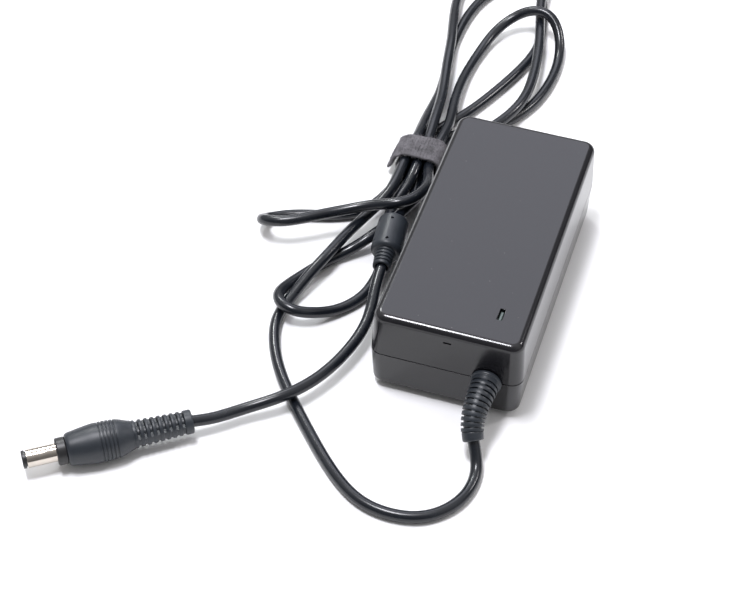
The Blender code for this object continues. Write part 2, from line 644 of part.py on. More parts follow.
def make_transformer(ferrite, bobbin, tape, x, y):
    """An E core with its middle leg lengthways through a wound bobbin."""
    length, width, height = CORE_SIZE
    z = SEAT + height / 2
    core = add_object("transformer_core", box_mesh((x, y, z), CORE_SIZE, 0.4), ferrite)
    opening = length - 2 * (CORE_LEG - 1.0)
    for side in (-1, 1):
        window = box_mesh((x, y, z + side * (height / 2 - CORE_LEG / 2 - CORE_SKIN)),
                          (opening, 2 * width, CORE_LEG - 2 * GAP))
        cut(core, cutter(f"cut_window_{side}", window))
    window_length = opening - 2 * GAP
    inner_z = height - 2 * CORE_SKIN - 2 * CORE_LEG + 2 * GAP
    sections = []
    for end in (-1, 1):
        where = x + end * window_length / 2
        depth = width / 2 + GAP
        tall = inner_z / 2 + 2 * GAP
        pair = []
        for grow in (0.0, BOBBIN_WALL):
            pair.append([(where, y + depth + grow, z + tall + grow),
                         (where, y - depth - grow, z + tall + grow),
                         (where, y - depth - grow, z - tall - grow),
                         (where, y + depth + grow, z - tall - grow)])
        sections.append(pair)
    add_object("transformer_bobbin", sleeve(sections), bobbin)
    wound = []
    for end in (-1, 1):
        where = x + end * (window_length / 2 - 2 * GAP)
        pair = []
        for grow in (BOBBIN_WALL + GAP, BOBBIN_WALL + GAP + WINDING_WALL):
            depth = width / 2 + GAP + grow
            tall = inner_z / 2 + 2 * GAP + grow
            pair.append([(where, y + depth, z + tall), (where, y - depth, z + tall),
                         (where, y - depth, z - tall), (where, y + depth, z - tall)])
        wound.append(pair)
    add_object("transformer_winding", sleeve(wound), tape)


def make_power_device(name, sink, epoxy, aluminium, steel, x, y):
    """A heat-sink plate standing on the board with a transistor screwed to its face."""
    plate, device = (*SINK_PLATE, ROOM - SINK_SHORT), DEVICE_SIZE
    tall = SEAT + plate[2] / 2
    inward = -1.0 if x > 0 else 1.0
    body = add_object(sink, box_mesh((x, y, tall), plate, 0.2), aluminium)
    hole_z = SEAT + DEVICE_LIFT + device[2] - DEVICE_HOLE
    bore = aim(turned([(SCREW_RADIUS + GAP, -8.0), (SCREW_RADIUS + GAP, 8.0)], 12),
               (x, y, hole_z), (1.0, 0.0, 0.0))
    through = cutter("cut_" + sink, bore)
    cut(body, through)
    face = x + inward * (plate[0] / 2 + GAP + device[0] / 2)
    package = box_mesh((face, y, SEAT + DEVICE_LIFT + device[2] / 2), device, 0.3)
    cut(add_object(name, package, epoxy), through)
    head = face + inward * (device[0] / 2 + GAP)
    far = x - inward * (plate[0] / 2 + 1.0)
    shank = abs(far - head)
    screw = turned([(SCREW_RADIUS, 0.0), (SCREW_RADIUS, shank), (SCREW_HEAD[0], shank),
                    (SCREW_HEAD[0], shank + SCREW_HEAD[1])], 12)
    add_object(name + "_screw", aim(screw, (far, y, hole_z), (inward, 0.0, 0.0)), steel)


def make_circuit(finish):
    make_board(finish["laminate"], finish["film"])
    black = finish["black"]
    finishes = {"fuse": "brown", "thermistor": "ceramic", "y_capacitor": "ceramic",
                "x_capacitor": "yellow", "output_choke": "ferrite"}
    for name, sizes in ROUND_PARTS.items():
        standing(name, finish[finishes.get(name, "black")], *sizes)
    for name, sizes in SQUARE_PARTS.items():
        block(name, finish[finishes.get(name, "black")], *sizes)
    standing("bulk_capacitor", black, *BULK_CAPACITOR, ROOM)
    make_choke(finish["ferrite"], finish["copper"], *CHOKE_PLACE)
    make_transformer(finish["ferrite"], finish["brown"], finish["yellow"], *TRANSFORMER_PLACE)
    make_power_device("mosfet", "primary_heat_sink", black, finish["aluminium"],
                      finish["steel"], *PRIMARY_SINK_PLACE)
    make_power_device("output_rectifier", "secondary_heat_sink", black, finish["aluminium"],
                      finish["steel"], *SECONDARY_SINK_PLACE)


def make_lamp(clear, diode):
    """The window in the top face, with a light pipe under it and the diode below."""
    x, y = LAMP_CENTRE
    top = CASE_TOP - LAMP_DEPTH
    shoulder = CASE_TOP - WALL - GAP
    flange, thickness = LIGHT_PIPE_FLANGE
    bottom = shoulder - thickness
    half_x, half_y = (side / 2 - LAMP_CLEARANCE for side in LAMP_SIZE)
    rings = []
    for grow, z in ((flange, bottom), (flange, shoulder), (0.0, shoulder), (0.0, top)):
        rings.append([(x + sx * (half_x + grow), y + sy * (half_y + grow), z)
                      for sx, sy in ((1, 1), (-1, 1), (-1, -1), (1, -1))])
    add_object("light_pipe", skin(rings), clear)
    radius = LED_DIAMETER / 2
    body = [(radius, SEAT), (radius, bottom - GAP - radius)]
    for step in range(1, 4):
        angle = math.radians(25.0 * step)
        body.append((radius * math.cos(angle), bottom - GAP - radius * (1 - math.sin(angle))))
    bm = turned(body, 12)
    bmesh.ops.translate(bm, vec=(x, y, 0.0), verts=bm.verts)
    add_object("led", bm, diode)


def make_wires(red, black, white, green):
    """Mains wires from the inlet's tabs to the board, and two output wires from the boot."""
    middle = CASE_LENGTH / 2 - INLET_RECESS - INLET_DEPTH - PIN_TAB / 2
    tabs = {"line_wire": (black, -PIN_PITCH / 2, 0.0), "earth_wire": (green, 0.0, EARTH_RISE),
            "neutral_wire": (white, PIN_PITCH / 2, 0.0)}
    for name, (finish, x, rise) in tabs.items():
        top = INLET_Z + rise - PIN_SECTION[1] / 2 - GAP
        bow = [(0.0, 0.0), (0.25, 0.45), (0.5, 0.6), (0.75, 0.45), (1.0, 0.0)]
        points = [(x, middle + aside, top + (SEAT + 0.2 - top) * share)
                  for share, aside in bow]
        round_bar(name, points, WIRE_RADIUS, finish)
    back = boot_inner_face() + BOOT_FLANGE_LENGTH + GAP
    for name, finish, side in (("output_wire_positive", red, 1.2),
                               ("output_wire_negative", black, -1.2)):
        x = BOOT_X + side
        drop = back + 2.0
        points = [(x, back, PARTING_Z), (x, back + 1.2, PARTING_Z - 0.4),
                  (x, drop, PARTING_Z - 1.8), (x, drop, SEAT)]
        round_bar(name, points, WIRE_RADIUS, finish)


# ---- output cord ----------------------------------------------------------------------------------

def sweep(path, radii, sides):
    """Rings of the given radii square to a smooth path."""
    rings = []
    for i, radius in enumerate(radii):
        before, after = path[max(i - 1, 0)], path[min(i + 1, len(path) - 1)]
        way = Vector(after - before).normalized()
        across = way.cross(Vector((0.0, 0.0, 1.0))).normalized()
        up = across.cross(way)
        centre = Vector(path[i])
        rings.append([centre + radius * (math.cos(2 * math.pi * k / sides) * across
                                         + math.sin(2 * math.pi * k / sides) * up)
                      for k in range(sides)])
    return rings


def boot_path(fractions):
    """The boot's axis: out of the wall, then bending down towards the cord."""
    start = np.array((BOOT_X, -CASE_LENGTH / 2, PARTING_Z))
    end = np.array(LEAD[0])
    way = end - np.array(LEAD[1])
    end = end + way / np.linalg.norm(way) * GAP
    reach = np.linalg.norm(end - start)
    lead_out = start + np.array((0.0, -1.0, 0.0)) * reach * 0.45
    lead_in = end + way / np.linalg.norm(way) * reach * 0.4
    t = np.array(fractions)[:, None]
    return ((1 - t) ** 3 * start + 3 * (1 - t) ** 2 * t * lead_out
            + 3 * (1 - t) * t ** 2 * lead_in + t ** 3 * end)


def boot_inner_face():
    """Where the boot's inner flange starts, clear of the leaning wall below it."""
    lean = BOOT_FLANGE_RADIUS * LOWER_DRAFT / (PARTING_Z - CASE_BOTTOM)
    return -CASE_LENGTH / 2 + WALL + GAP + lean


def make_boot(rubber):
    """Flange inside the wall, neck through it, ribbed bending part and end collar."""
    inner_face = boot_inner_face()
    stations = [(inner_face + BOOT_FLANGE_LENGTH, BOOT_FLANGE_RADIUS),
                (inner_face, BOOT_FLANGE_RADIUS), (inner_face, BOOT_NECK_RADIUS)]
    path = [np.array((BOOT_X, y, PARTING_Z)) for y, _ in stations]
    radii = [radius for _, radius in stations]
    outside = -CASE_LENGTH / 2 - GAP
    for y, radius in ((outside, BOOT_NECK_RADIUS), (outside, BOOT_FLANGE_RADIUS)):
        path.append(np.array((BOOT_X, y, PARTING_Z)))
        radii.append(radius)
    length = float(np.linalg.norm(np.array(LEAD[0]) - path[-1]))
    flange_end = (BOOT_FLANGE_LENGTH + GAP) / length
    collar_start = 1.0 - BOOT_COLLAR_LENGTH / length
    pitch = (collar_start - flange_end) / BOOT_RIBS
    fractions = [flange_end]
    fraction_radii = [BOOT_FLANGE_RADIUS]
    for rib in range(BOOT_RIBS):
        start = flange_end + rib * pitch
        for share, deep in ((0.08, True), (0.42, True), (0.5, False), (1.0, False)):
            where = start + share * pitch
            along = (where - flange_end) / (collar_start - flange_end)
            full = BOOT_BODY_RADIUS + (BOOT_END_RADIUS - BOOT_BODY_RADIUS) * along
            fractions.append(where)
            fraction_radii.append(full - (BOOT_GROOVE_DEPTH if deep else 0.0))
    fractions += [collar_start + 0.02, 0.97, 1.0]
    fraction_radii += [BOOT_END_RADIUS + 0.15, BOOT_END_RADIUS + 0.15, BOOT_END_RADIUS - 0.3]
    path += list(boot_path(fractions))
    radii += fraction_radii
    rings = sweep_facing(path, radii)
    add_object("output_strain_relief", skin(rings), rubber, smooth_angle=50.0)


def sweep_facing(path, radii):
    """Like sweep, for a path whose first points share places: those rings face -Y."""
    straight = 5
    rings = []
    for place, radius in zip(path[:straight], radii[:straight]):
        rings.append([(place[0] - radius * math.cos(2 * math.pi * k / BOOT_SIDES), place[1],
                       place[2] + radius * math.sin(2 * math.pi * k / BOOT_SIDES))
                      for k in range(BOOT_SIDES)])
    return rings + sweep(path[straight:], radii[straight:], BOOT_SIDES)


def make_cord(jacket):
    curve = smooth_curve(LEAD, SMOOTHING_SAMPLES)
    in_strap = STRAP_WIDTH / 2 + STRAP_REACH
    kept = {i * SMOOTHING_SAMPLES for i, point in enumerate(ROUTE)
            if i in (BEAD_BACK, BEAD_FRONT)
            or point[0] < BOOT_X and abs(point[1] - STRAP_Y) < in_strap}
    points = thin_out(curve, kept)
    points[-1] += (points[-2] - points[-1]) / np.linalg.norm(points[-2] - points[-1]) * GAP
    round_bar("output_cord", points, CORD_DIAMETER / 2, jacket, CORD_SIDES_RESOLUTION)


def make_bead(rubber, ferrite):
    """A ferrite tube in a moulded jacket, opened by the small holes of the mould's pins."""
    back, front = Vector(LEAD[BEAD_BACK]), Vector(LEAD[BEAD_FRONT])
    way = (front - back).normalized()
    length = (front - back).length - 2 * GAP
    bore = CORD_DIAMETER / 2 + BORE_GAP
    relief = length - BEAD_BODY_LENGTH
    profile = [(bore, 0.0), (BEAD_RADIUS - 0.6, 0.0), (BEAD_RADIUS, 0.6),
               (BEAD_RADIUS, BEAD_BODY_LENGTH - BEAD_END_ROUND),
               (BEAD_RADIUS - 0.3 * BEAD_END_ROUND, BEAD_BODY_LENGTH - 0.3 * BEAD_END_ROUND),
               (BEAD_RADIUS - BEAD_END_ROUND, BEAD_BODY_LENGTH)]
    pitch = relief / (BEAD_RELIEF_RIBS + 0.5)
    for rib in range(BEAD_RELIEF_RIBS):
        start = BEAD_BODY_LENGTH + rib * pitch
        shrink = (BEAD_RELIEF_RADIUS - BEAD_RELIEF_TIP_RADIUS) * rib / BEAD_RELIEF_RIBS
        full = BEAD_RELIEF_RADIUS - shrink
        profile += [(full, start + 0.05), (full, start + 0.55 * pitch),
                    (full - 0.5, start + 0.6 * pitch), (full - 0.5, start + 0.95 * pitch)]
    profile += [(BEAD_RELIEF_TIP_RADIUS, length - 0.45 * pitch),
                (BEAD_RELIEF_TIP_RADIUS, length), (bore, length)]
    jacket = add_object("bead_overmould",
                        aim(turned(profile, 20, ring=True), back + way * GAP, way), rubber)
    start = (BEAD_BODY_LENGTH - FERRITE_LENGTH) / 2
    room = turned(tube_profile(FERRITE_RADIUS + GAP / 2, FERRITE_BORE - GAP / 2,
                               start - GAP / 2, start + FERRITE_LENGTH + GAP / 2), 20, ring=True)
    cut(jacket, cutter("cut_ferrite_room", aim(room, back + way * GAP, way)))
    turn = way.to_track_quat("Z", "Y")
    for at in (0.2, 0.82):
        for step in range(3):
            angle = math.radians(18.0 + 72.0 * step)
            out = turn @ Vector((math.cos(angle), math.sin(angle), 0.0))
            foot = back + way * (GAP + BEAD_BODY_LENGTH * at) + out * (FERRITE_RADIUS - 0.1)
            hole = turned([(PIN_HOLE_RADIUS, 0.0), (PIN_HOLE_RADIUS, 3.0)], 8)
            cut(jacket, cutter(f"cut_pin_{at}_{step}", aim(hole, foot, out)))
    tube = turned(tube_profile(FERRITE_RADIUS, FERRITE_BORE, start, start + FERRITE_LENGTH), 20,
                  ring=True)
    add_object("ferrite_core", aim(tube, back + way * GAP, way), ferrite)


def plug_profile(relief_length):
    """Radius along the plug's moulded body, from the cord's end to the collar."""
    body_start = relief_length
    profile = [(PLUG_RELIEF_END_RADIUS - 0.3, 0.0), (PLUG_RELIEF_END_RADIUS + 0.2, 0.3),
               (PLUG_RELIEF_END_RADIUS + 0.2, PLUG_RELIEF_COLLAR)]
    pitch = (relief_length - PLUG_RELIEF_COLLAR) / PLUG_RELIEF_SLOTS
    for slot in range(PLUG_RELIEF_SLOTS):
        start = PLUG_RELIEF_COLLAR + slot * pitch
        share = slot / PLUG_RELIEF_SLOTS
        full = PLUG_RELIEF_END_RADIUS + (PLUG_RELIEF_RADIUS - PLUG_RELIEF_END_RADIUS) * share
        profile += [(full - 0.6, start + 0.05), (full - 0.6, start + 0.45 * pitch),
                    (full, start + 0.5 * pitch), (full, start + 0.98 * pitch)]
    for share, radius in ((0.04, PLUG_BACK_RADIUS), (0.16, 0.92 * PLUG_RADIUS),
                          (0.3, PLUG_RADIUS)):
        profile.append((radius, body_start + share * PLUG_LENGTH))
    ring_start, ring_end = 0.42, 0.86
    for ring in range(PLUG_RINGS):
        where = ring_start + (ring_end - ring_start) * ring / PLUG_RINGS
        full = PLUG_RADIUS - (PLUG_RADIUS - PLUG_FRONT_RADIUS) * ring / PLUG_RINGS * 0.6
        for share, radius in ((0.0, full), (0.01, full - 0.35), (0.03, full - 0.35),
                              (0.04, full)):
            profile.append((radius, body_start + (where + share) * PLUG_LENGTH))
    profile += [(PLUG_FRONT_RADIUS, body_start + 0.94 * PLUG_LENGTH),
                (PLUG_FRONT_RADIUS - 0.5, body_start + PLUG_LENGTH)]
    return profile


def make_plug(rubber, plastic, nickel, brass):
    start, tip = Vector(LEAD[-1]), Vector(TIP)
    way = (tip - start).normalized()
    length = (tip - start).length
    relief_length = length - BARREL_LENGTH - COLLAR_LENGTH - PLUG_LENGTH
    profile = plug_profile(relief_length)
    add_object("plug_body", aim(turned(profile, 20), start, way), rubber, smooth_angle=35.0)
    face = relief_length + PLUG_LENGTH + GAP
    collar_end = length - BARREL_LENGTH
    barrel, bore = BARREL_DIAMETER / 2, BARREL_DIAMETER / 2 - BARREL_WALL
    seat = collar_end - BARREL_SEAT
    collar = [(COLLAR_DIAMETER / 2, face), (COLLAR_DIAMETER / 2, collar_end - COLLAR_EDGE),
              (COLLAR_DIAMETER / 2 - COLLAR_EDGE, collar_end), (barrel + GAP, collar_end),
              (barrel + GAP, seat)]
    add_object("plug_collar", aim(turned(collar, 20), start, way), plastic)
    foot = seat + GAP
    rim = length - INSULATOR_RIM
    tube = tube_profile(barrel, bore, foot, rim - GAP)
    add_object("plug_barrel", aim(turned(tube, 20, ring=True), start, way), nickel)
    outer = bore - BARREL_CLEARANCE
    inner = outer - INSULATOR_WALL
    ring = [(inner, foot), (outer, foot), (outer, rim), (barrel, rim),
            (barrel, length - INSULATOR_EDGE), (barrel - INSULATOR_EDGE, length), (inner, length)]
    add_object("plug_insulator_ring", aim(turned(ring, 20, ring=True), start, way), plastic)
    contact = inner - BARREL_CLEARANCE
    tube = tube_profile(contact, contact - CONTACT_WALL, foot, length - CONTACT_RECESS)
    add_object("plug_inner_contact", aim(turned(tube, 16, ring=True), start, way), brass)


# ---- strap -----------------------------------------------------------------------------------------

def strap_centre_line():
    """One turn round the bundle and a loose tail over its left shoulder."""
    cx, cz = STRAP_X, STRAP_CENTRE[1]
    half = STRAP_THICKNESS / 2
    a, b, r = STRAP_INNER[0] + half, STRAP_INNER[1] + half, STRAP_CORNER + half
    points = []
    for corner, (sx, sz) in enumerate(((-1, -1), (1, -1), (1, 1), (-1, 1))):
        for step in range(5):
            angle = math.radians(180.0 + 90.0 * (corner + step / 4))
            points.append((cx + sx * (a - r) + r * math.cos(angle),
                           cz + sz * (b - r) + r * math.sin(angle)))
    over = STRAP_THICKNESS + GAP
    points = [(cx - a, cz + 0.4), (cx - a, cz - b + r)] + points[1:-1]
    for dx, dz in ((-a + 0.6, b - 1.4), (-a - 0.9, b - 3.0)):
        points.append((cx + dx - 0.2, cz + dz + 0.9))
    for dx, dz in ((-a - over - 0.2, 0.6), (-a - over - 1.0, -1.2), (-a - over - 2.0, -2.6)):
        points.append((cx + dx, cz + dz))
    return points


def make_strap(tape):
    line = [Vector((x, z)) for x, z in strap_centre_line()]
    left, right = [], []
    for i, point in enumerate(line):
        way = (line[min(i + 1, len(line) - 1)] - line[max(i - 1, 0)]).normalized()
        side = Vector((-way.y, way.x)) * STRAP_THICKNESS / 2
        left.append(point + side)
        right.append(point - side)
    rings = []
    for y in (STRAP_MIDDLE - STRAP_WIDTH / 2, STRAP_MIDDLE + STRAP_WIDTH / 2):
        rings.append([((p.x, y, p.y), (q.x, y, q.y)) for p, q in zip(left, right)])
    bm = bmesh.new()
    grid = [[[bm.verts.new(c) for c in pair] for pair in ring] for ring in rings]
    near, far = grid
    for i in range(len(line) - 1):
        for ring in grid:
            bm.faces.new((ring[i][0], ring[i][1], ring[i + 1][1], ring[i + 1][0]))
        for side in range(2):
            bm.faces.new((near[i][side], near[i + 1][side], far[i + 1][side], far[i][side]))
    for end in (0, -1):
        bm.faces.new((near[end][0], near[end][1], far[end][1], far[end][0]))
    add_object("cable_strap", bm, tape)


def main():
    for obj in list(bpy.data.objects):
        bpy.data.objects.remove(obj, do_unlink=True)
    finish = {
        "plastic": material("case_plastic", (0.012, 0.012, 0.014), 0.38),
        "black": material("component_black", (0.015, 0.015, 0.016), 0.45),
        "rubber": material("soft_black", (0.02, 0.022, 0.025), 0.6),
        "jacket": material("cord_jacket", (0.01, 0.011, 0.014), 0.32),
        "foot": material("foot_rubber", (0.03, 0.03, 0.03), 0.8),
        "paper": material("blank_label", (0.05, 0.05, 0.055), 0.5),
        "nickel": material("nickel_plate", (0.72, 0.7, 0.66), 0.22, 1.0),
        "brass": material("contact_brass", (0.7, 0.52, 0.25), 0.3, 1.0),
        "steel": material("zinc_steel", (0.6, 0.6, 0.6), 0.35, 1.0),
        "aluminium": material("sink_aluminium", (0.7, 0.7, 0.72), 0.4, 1.0),
        "copper": material("copper_wire", (0.6, 0.25, 0.12), 0.35, 1.0),
        "ferrite": material("dark_ferrite", (0.05, 0.05, 0.05), 0.7),
        "laminate": material("board_laminate", (0.45, 0.3, 0.12), 0.6),
        "film": material("insulating_film", (0.02, 0.02, 0.02), 0.5),
        "ceramic": material("blue_ceramic", (0.05, 0.15, 0.45), 0.5),
        "yellow": material("yellow_tape", (0.75, 0.55, 0.06), 0.45),
        "brown": material("brown_resin", (0.2, 0.08, 0.04), 0.5),
        "clear": material("light_pipe_clear", (0.45, 0.5, 0.45), 0.15),
        "diode": material("led_green", (0.1, 0.45, 0.15), 0.2),
        "red": material("wire_red", (0.5, 0.02, 0.02), 0.4),
        "white": material("wire_white", (0.75, 0.75, 0.72), 0.4),
        "green": material("wire_green", (0.1, 0.4, 0.08), 0.4),
        "tape": material("strap_tape", (0.02, 0.02, 0.021), 0.95),
    }
    make_case(finish["plastic"])
    make_feet(finish["foot"], finish["paper"])
    make_inlet(finish["black"], finish["nickel"])
    make_circuit(finish)
    make_lamp(finish["clear"], finish["diode"])
    make_wires(finish["red"], finish["black"], finish["white"], finish["green"])
    make_boot(finish["rubber"])
    make_cord(finish["jacket"])
    make_bead(finish["rubber"], finish["ferrite"])
    make_plug(finish["rubber"], finish["black"], finish["nickel"], finish["brass"])
    make_strap(finish["tape"])


main()
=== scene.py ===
import json
import math
import random

import bmesh
import bpy
import numpy as np
from mathutils import Matrix, Vector


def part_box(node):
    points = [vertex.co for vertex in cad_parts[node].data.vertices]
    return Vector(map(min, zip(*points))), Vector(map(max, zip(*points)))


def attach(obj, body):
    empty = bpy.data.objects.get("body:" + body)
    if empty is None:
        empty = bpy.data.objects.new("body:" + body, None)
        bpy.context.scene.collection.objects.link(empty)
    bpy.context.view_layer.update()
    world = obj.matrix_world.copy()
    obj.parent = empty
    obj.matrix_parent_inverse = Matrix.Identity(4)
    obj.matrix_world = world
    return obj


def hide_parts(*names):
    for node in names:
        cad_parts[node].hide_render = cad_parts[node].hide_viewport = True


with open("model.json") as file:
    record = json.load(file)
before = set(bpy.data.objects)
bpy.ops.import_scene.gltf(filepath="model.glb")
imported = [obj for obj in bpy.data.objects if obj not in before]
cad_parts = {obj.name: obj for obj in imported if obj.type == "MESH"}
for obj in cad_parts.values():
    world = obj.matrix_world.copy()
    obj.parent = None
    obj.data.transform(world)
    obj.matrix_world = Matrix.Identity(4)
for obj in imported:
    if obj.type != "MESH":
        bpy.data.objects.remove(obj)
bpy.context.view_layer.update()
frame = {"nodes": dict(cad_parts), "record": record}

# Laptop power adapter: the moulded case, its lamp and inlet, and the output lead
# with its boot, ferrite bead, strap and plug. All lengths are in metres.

MM = 0.001
BODY = "root"

# ---- sizes ---------------------------------------------------------------------------
SEAM = 0.3 * MM            # dark line between the two halves of the case
DRAFT_TOP = (0.8 * MM, 0.2 * MM)        # side walls, end walls
DRAFT_BOTTOM = (0.6 * MM, 0.6 * MM)
WALL = 2.0 * MM
CORNER = 4.0 * MM
TOP_EDGE = 2.2 * MM
BOTTOM_EDGE = 0.9 * MM
LIP_HEIGHT = 1.5 * MM
UPPER_LIP_INSET = 0.9 * MM               # from the outer wall to the joint's tongue
UPPER_WALL_INSET = 1.1 * MM
LOWER_LIP_INSET = 1.2 * MM
LOWER_WALL_INSET = 0.8 * MM
FLOOR_NARROWER = 1.1 * MM                # inner floor against the inner rim
CASE_ROUNDING = 0.14 * MM
LAMP_FRAME = 0.68 * MM                   # case round the lamp's window
MARK_X = (-0.7 * MM, 1.7 * MM)
MARK_Z = (26.5 * MM, 27.1 * MM)
MARK_DEPTH = 0.6 * MM
INLET_HALF = (14.0 * MM, 10.1 * MM)      # half width and height of the inlet's face
INLET_GAP = 0.3 * MM
INLET_RIM_GAP = 0.9 * MM                 # between the end wall and the inlet's flange
SOCKET_HALF = (12.2 * MM, 8.3 * MM)
SOCKET_DEPTH = 16.5 * MM
SOCKET_CHAMFER = 4.6 * MM
SOCKET_ROUNDING = 0.7 * MM
PIN_SLOT_DEPTH = 15.0 * MM
PIN_SLOT_GAP = 0.15 * MM
BOOT_HOLE = 3.9 * MM
BOOT_X = 13.2 * MM
PARTING = 15.3 * MM
CORD_DIAMETER = 3.6 * MM

# The lead's centre line in millimetres, from the boot to the plug.
ROUTE = [
    # out of the boot, round the front and back to the strap
    (14.0, -65.0, 8.0), (15.5, -67.5, 5.5), (17.0, -71.0, 3.0), (17.5, -76.0, 2.0),
    (15.5, -84.0, 2.0), (9.0, -91.5, 2.0), (0.0, -94.5, 2.0), (-11.0, -93.0, 2.0),
    (-22.0, -85.5, 2.0), (-34.0, -73.0, 2.0), (-45.5, -59.5, 2.0), (-53.5, -47.5, 2.0),
    (-58.2, -34.5, 2.0), (-57.7, -26.0, 2.5), (-54.5, -15.5, 5.0), (-51.0, -4.5, 6.4),
    (-47.5, 10.0, 5.7), (-42.5, 23.5, 6.5), (-40.6, 31.0, 7.6), (-40.5, 43.5, 7.5),
    # inner far loop
    (-40.0, 57.0, 7.5), (-40.5, 65.0, 5.8), (-41.0, 78.0, 3.0), (-41.0, 90.5, 2.0),
    (-43.0, 108.0, 2.0), (-44.0, 122.0, 2.0), (-43.0, 138.0, 2.0), (-39.0, 151.0, 2.0),
    (-31.5, 158.5, 2.0), (-22.5, 157.5, 2.0), (-18.3, 149.5, 2.0), (-14.5, 132.0, 2.0),
    (-15.0, 119.0, 2.0), (-19.5, 103.5, 2.0), (-29.0, 81.0, 2.0), (-36.0, 69.5, 2.0),
    (-39.0, 63.0, 2.5), (-40.0, 57.0, 3.4),
    # long narrow loop on the left
    (-40.3, 44.0, 3.4), (-42.5, 34.0, 2.5), (-47.0, 24.0, 2.0), (-54.0, 18.5, 2.0),
    (-62.5, 15.5, 2.0), (-70.0, 13.0, 2.0), (-75.0, 10.0, 2.3), (-77.2, 6.0, 4.5),
    (-75.0, 2.2, 8.0), (-68.5, 2.2, 9.5), (-58.5, 8.0, 10.0), (-51.0, 12.5, 10.5),
    (-43.5, 15.5, 12.0), (-36.5, 16.5, 14.0), (-31.5, 19.5, 14.5), (-28.8, 27.0, 13.0),
    (-29.6, 35.5, 10.0), (-31.9, 44.5, 7.5),
    # near loop behind the case
    (-32.0, 57.0, 7.5), (-31.9, 69.0, 6.5), (-33.7, 83.0, 5.0), (-34.7, 101.0, 2.8),
    (-33.3, 116.0, 2.6), (-30.5, 127.0, 4.2), (-25.5, 133.5, 7.0), (-19.5, 135.5, 9.8),
    (-13.5, 135.0, 10.0), (-8.5, 131.0, 7.0), (-5.5, 122.5, 3.0), (-5.0, 109.0, 2.0),
    (-7.5, 95.0, 2.0), (-12.5, 84.0, 2.0), (-19.0, 76.0, 2.0), (-27.0, 70.5, 2.0),
    (-33.2, 64.5, 2.6), (-35.8, 57.0, 3.4),
    # round loop in front of the narrow one
    (-35.8, 44.0, 3.4), (-34.2, 35.0, 2.6), (-34.0, 27.0, 3.6), (-35.5, 19.5, 5.6),
    (-38.0, 13.0, 6.0), (-41.5, 7.0, 5.4), (-46.0, 2.5, 3.2), (-52.0, -4.0, 2.0),
    (-57.0, -12.0, 2.0), (-60.0, -20.0, 3.6), (-60.3, -26.0, 5.4), (-57.5, -30.0, 6.1),
    (-52.5, -31.0, 5.6), (-47.0, -28.3, 4.0), (-41.5, -23.2, 2.2), (-36.5, -16.0, 2.0),
    (-34.5, -7.0, 2.0), (-34.8, 3.0, 2.0), (-36.5, 12.0, 2.0), (-38.8, 21.0, 2.0),
    (-38.5, 29.0, 3.6), (-36.4, 36.5, 6.1), (-36.0, 44.0, 7.4),
    # outer far loop
    (-36.0, 57.0, 7.5), (-37.0, 69.0, 7.5), (-38.5, 83.0, 6.5), (-41.5, 99.5, 6.1),
    (-44.0, 114.0, 6.1), (-47.0, 127.5, 5.0), (-49.5, 142.0, 3.5), (-49.0, 155.0, 3.0),
    (-42.5, 166.0, 3.5), (-31.0, 171.5, 4.5), (-21.8, 165.5, 5.8), (-19.0, 150.0, 6.1),
    (-15.8, 134.0, 6.1), (-12.5, 118.0, 6.1), (-10.5, 99.5, 6.1), (-11.5, 87.0, 6.1),
    (-15.5, 77.0, 5.5), (-21.5, 69.0, 4.5), (-28.0, 63.5, 3.6), (-31.8, 56.5, 3.4),
    # through the bead and out to the plug
    (-31.8, 44.0, 3.5), (-31.0, 36.0, 5.0), (-31.3, 28.0, 7.5), (-34.0, 12.0, 11.0),
    (-33.0, 1.75, 10.25), (-32.0, -8.5, 9.5), (-31.2, -17.5, 8.7), (-30.0, -29.0, 7.2),
    (-32.0, -42.0, 6.2), (-37.5, -56.0, 6.0), (-45.5, -66.5, 6.0), (-54.0, -73.0, 5.0),
    (-61.5, -79.5, 5.2), (-67.0, -83.5, 6.0),
]
BEAD_BACK = Vector((-34.0, 12.0, 11.0)) * MM
BEAD_FRONT = Vector((-32.0, -8.5, 9.5)) * MM
PLUG_TIP = Vector((-108.0, -112.5, 6.0)) * MM
TIP_GAP = 0.3 * MM


# ---- working in object and edit mode -------------------------------------------------

def take(obj):
    """Makes obj the only selected object."""
    if bpy.context.mode != "OBJECT":
        bpy.ops.object.mode_set(mode="OBJECT")
    bpy.ops.object.select_all(action="DESELECT")
    obj.select_set(True)
    bpy.context.view_layer.objects.active = obj


def put_down():
    if bpy.context.mode != "OBJECT":
        bpy.ops.object.mode_set(mode="OBJECT")
    bpy.ops.object.select_all(action="DESELECT")


def edit(obj, mode="FACE"):
    take(obj)
    bpy.ops.object.mode_set(mode="EDIT")
    bpy.ops.mesh.select_mode(type=mode)
    bpy.ops.mesh.select_all(action="DESELECT")


def pick(obj, wanted, kind="faces"):
    """Selects the faces, edges or vertices that wanted says."""
    bm = bmesh.from_edit_mesh(obj.data)
    for items in (bm.faces, bm.edges, bm.verts):
        for item in items:
            item.select = False
    for item in getattr(bm, kind):
        if wanted(item):
            item.select_set(True)
    bm.select_flush_mode()
    bmesh.update_edit_mesh(obj.data)


def block(name, low, high):
    """A box between two corners, to be shaped further."""
    put_down()
    low, high = Vector(low), Vector(high)
    bpy.ops.mesh.primitive_cube_add(size=1.0, location=(low + high) / 2, scale=high - low)
    obj = bpy.context.object
    obj.name = name
    bpy.ops.object.transform_apply(location=True, rotation=True, scale=True)
    return obj


def shift(vector):
    bpy.ops.mesh.extrude_region_move(TRANSFORM_OT_translate={"value": vector})


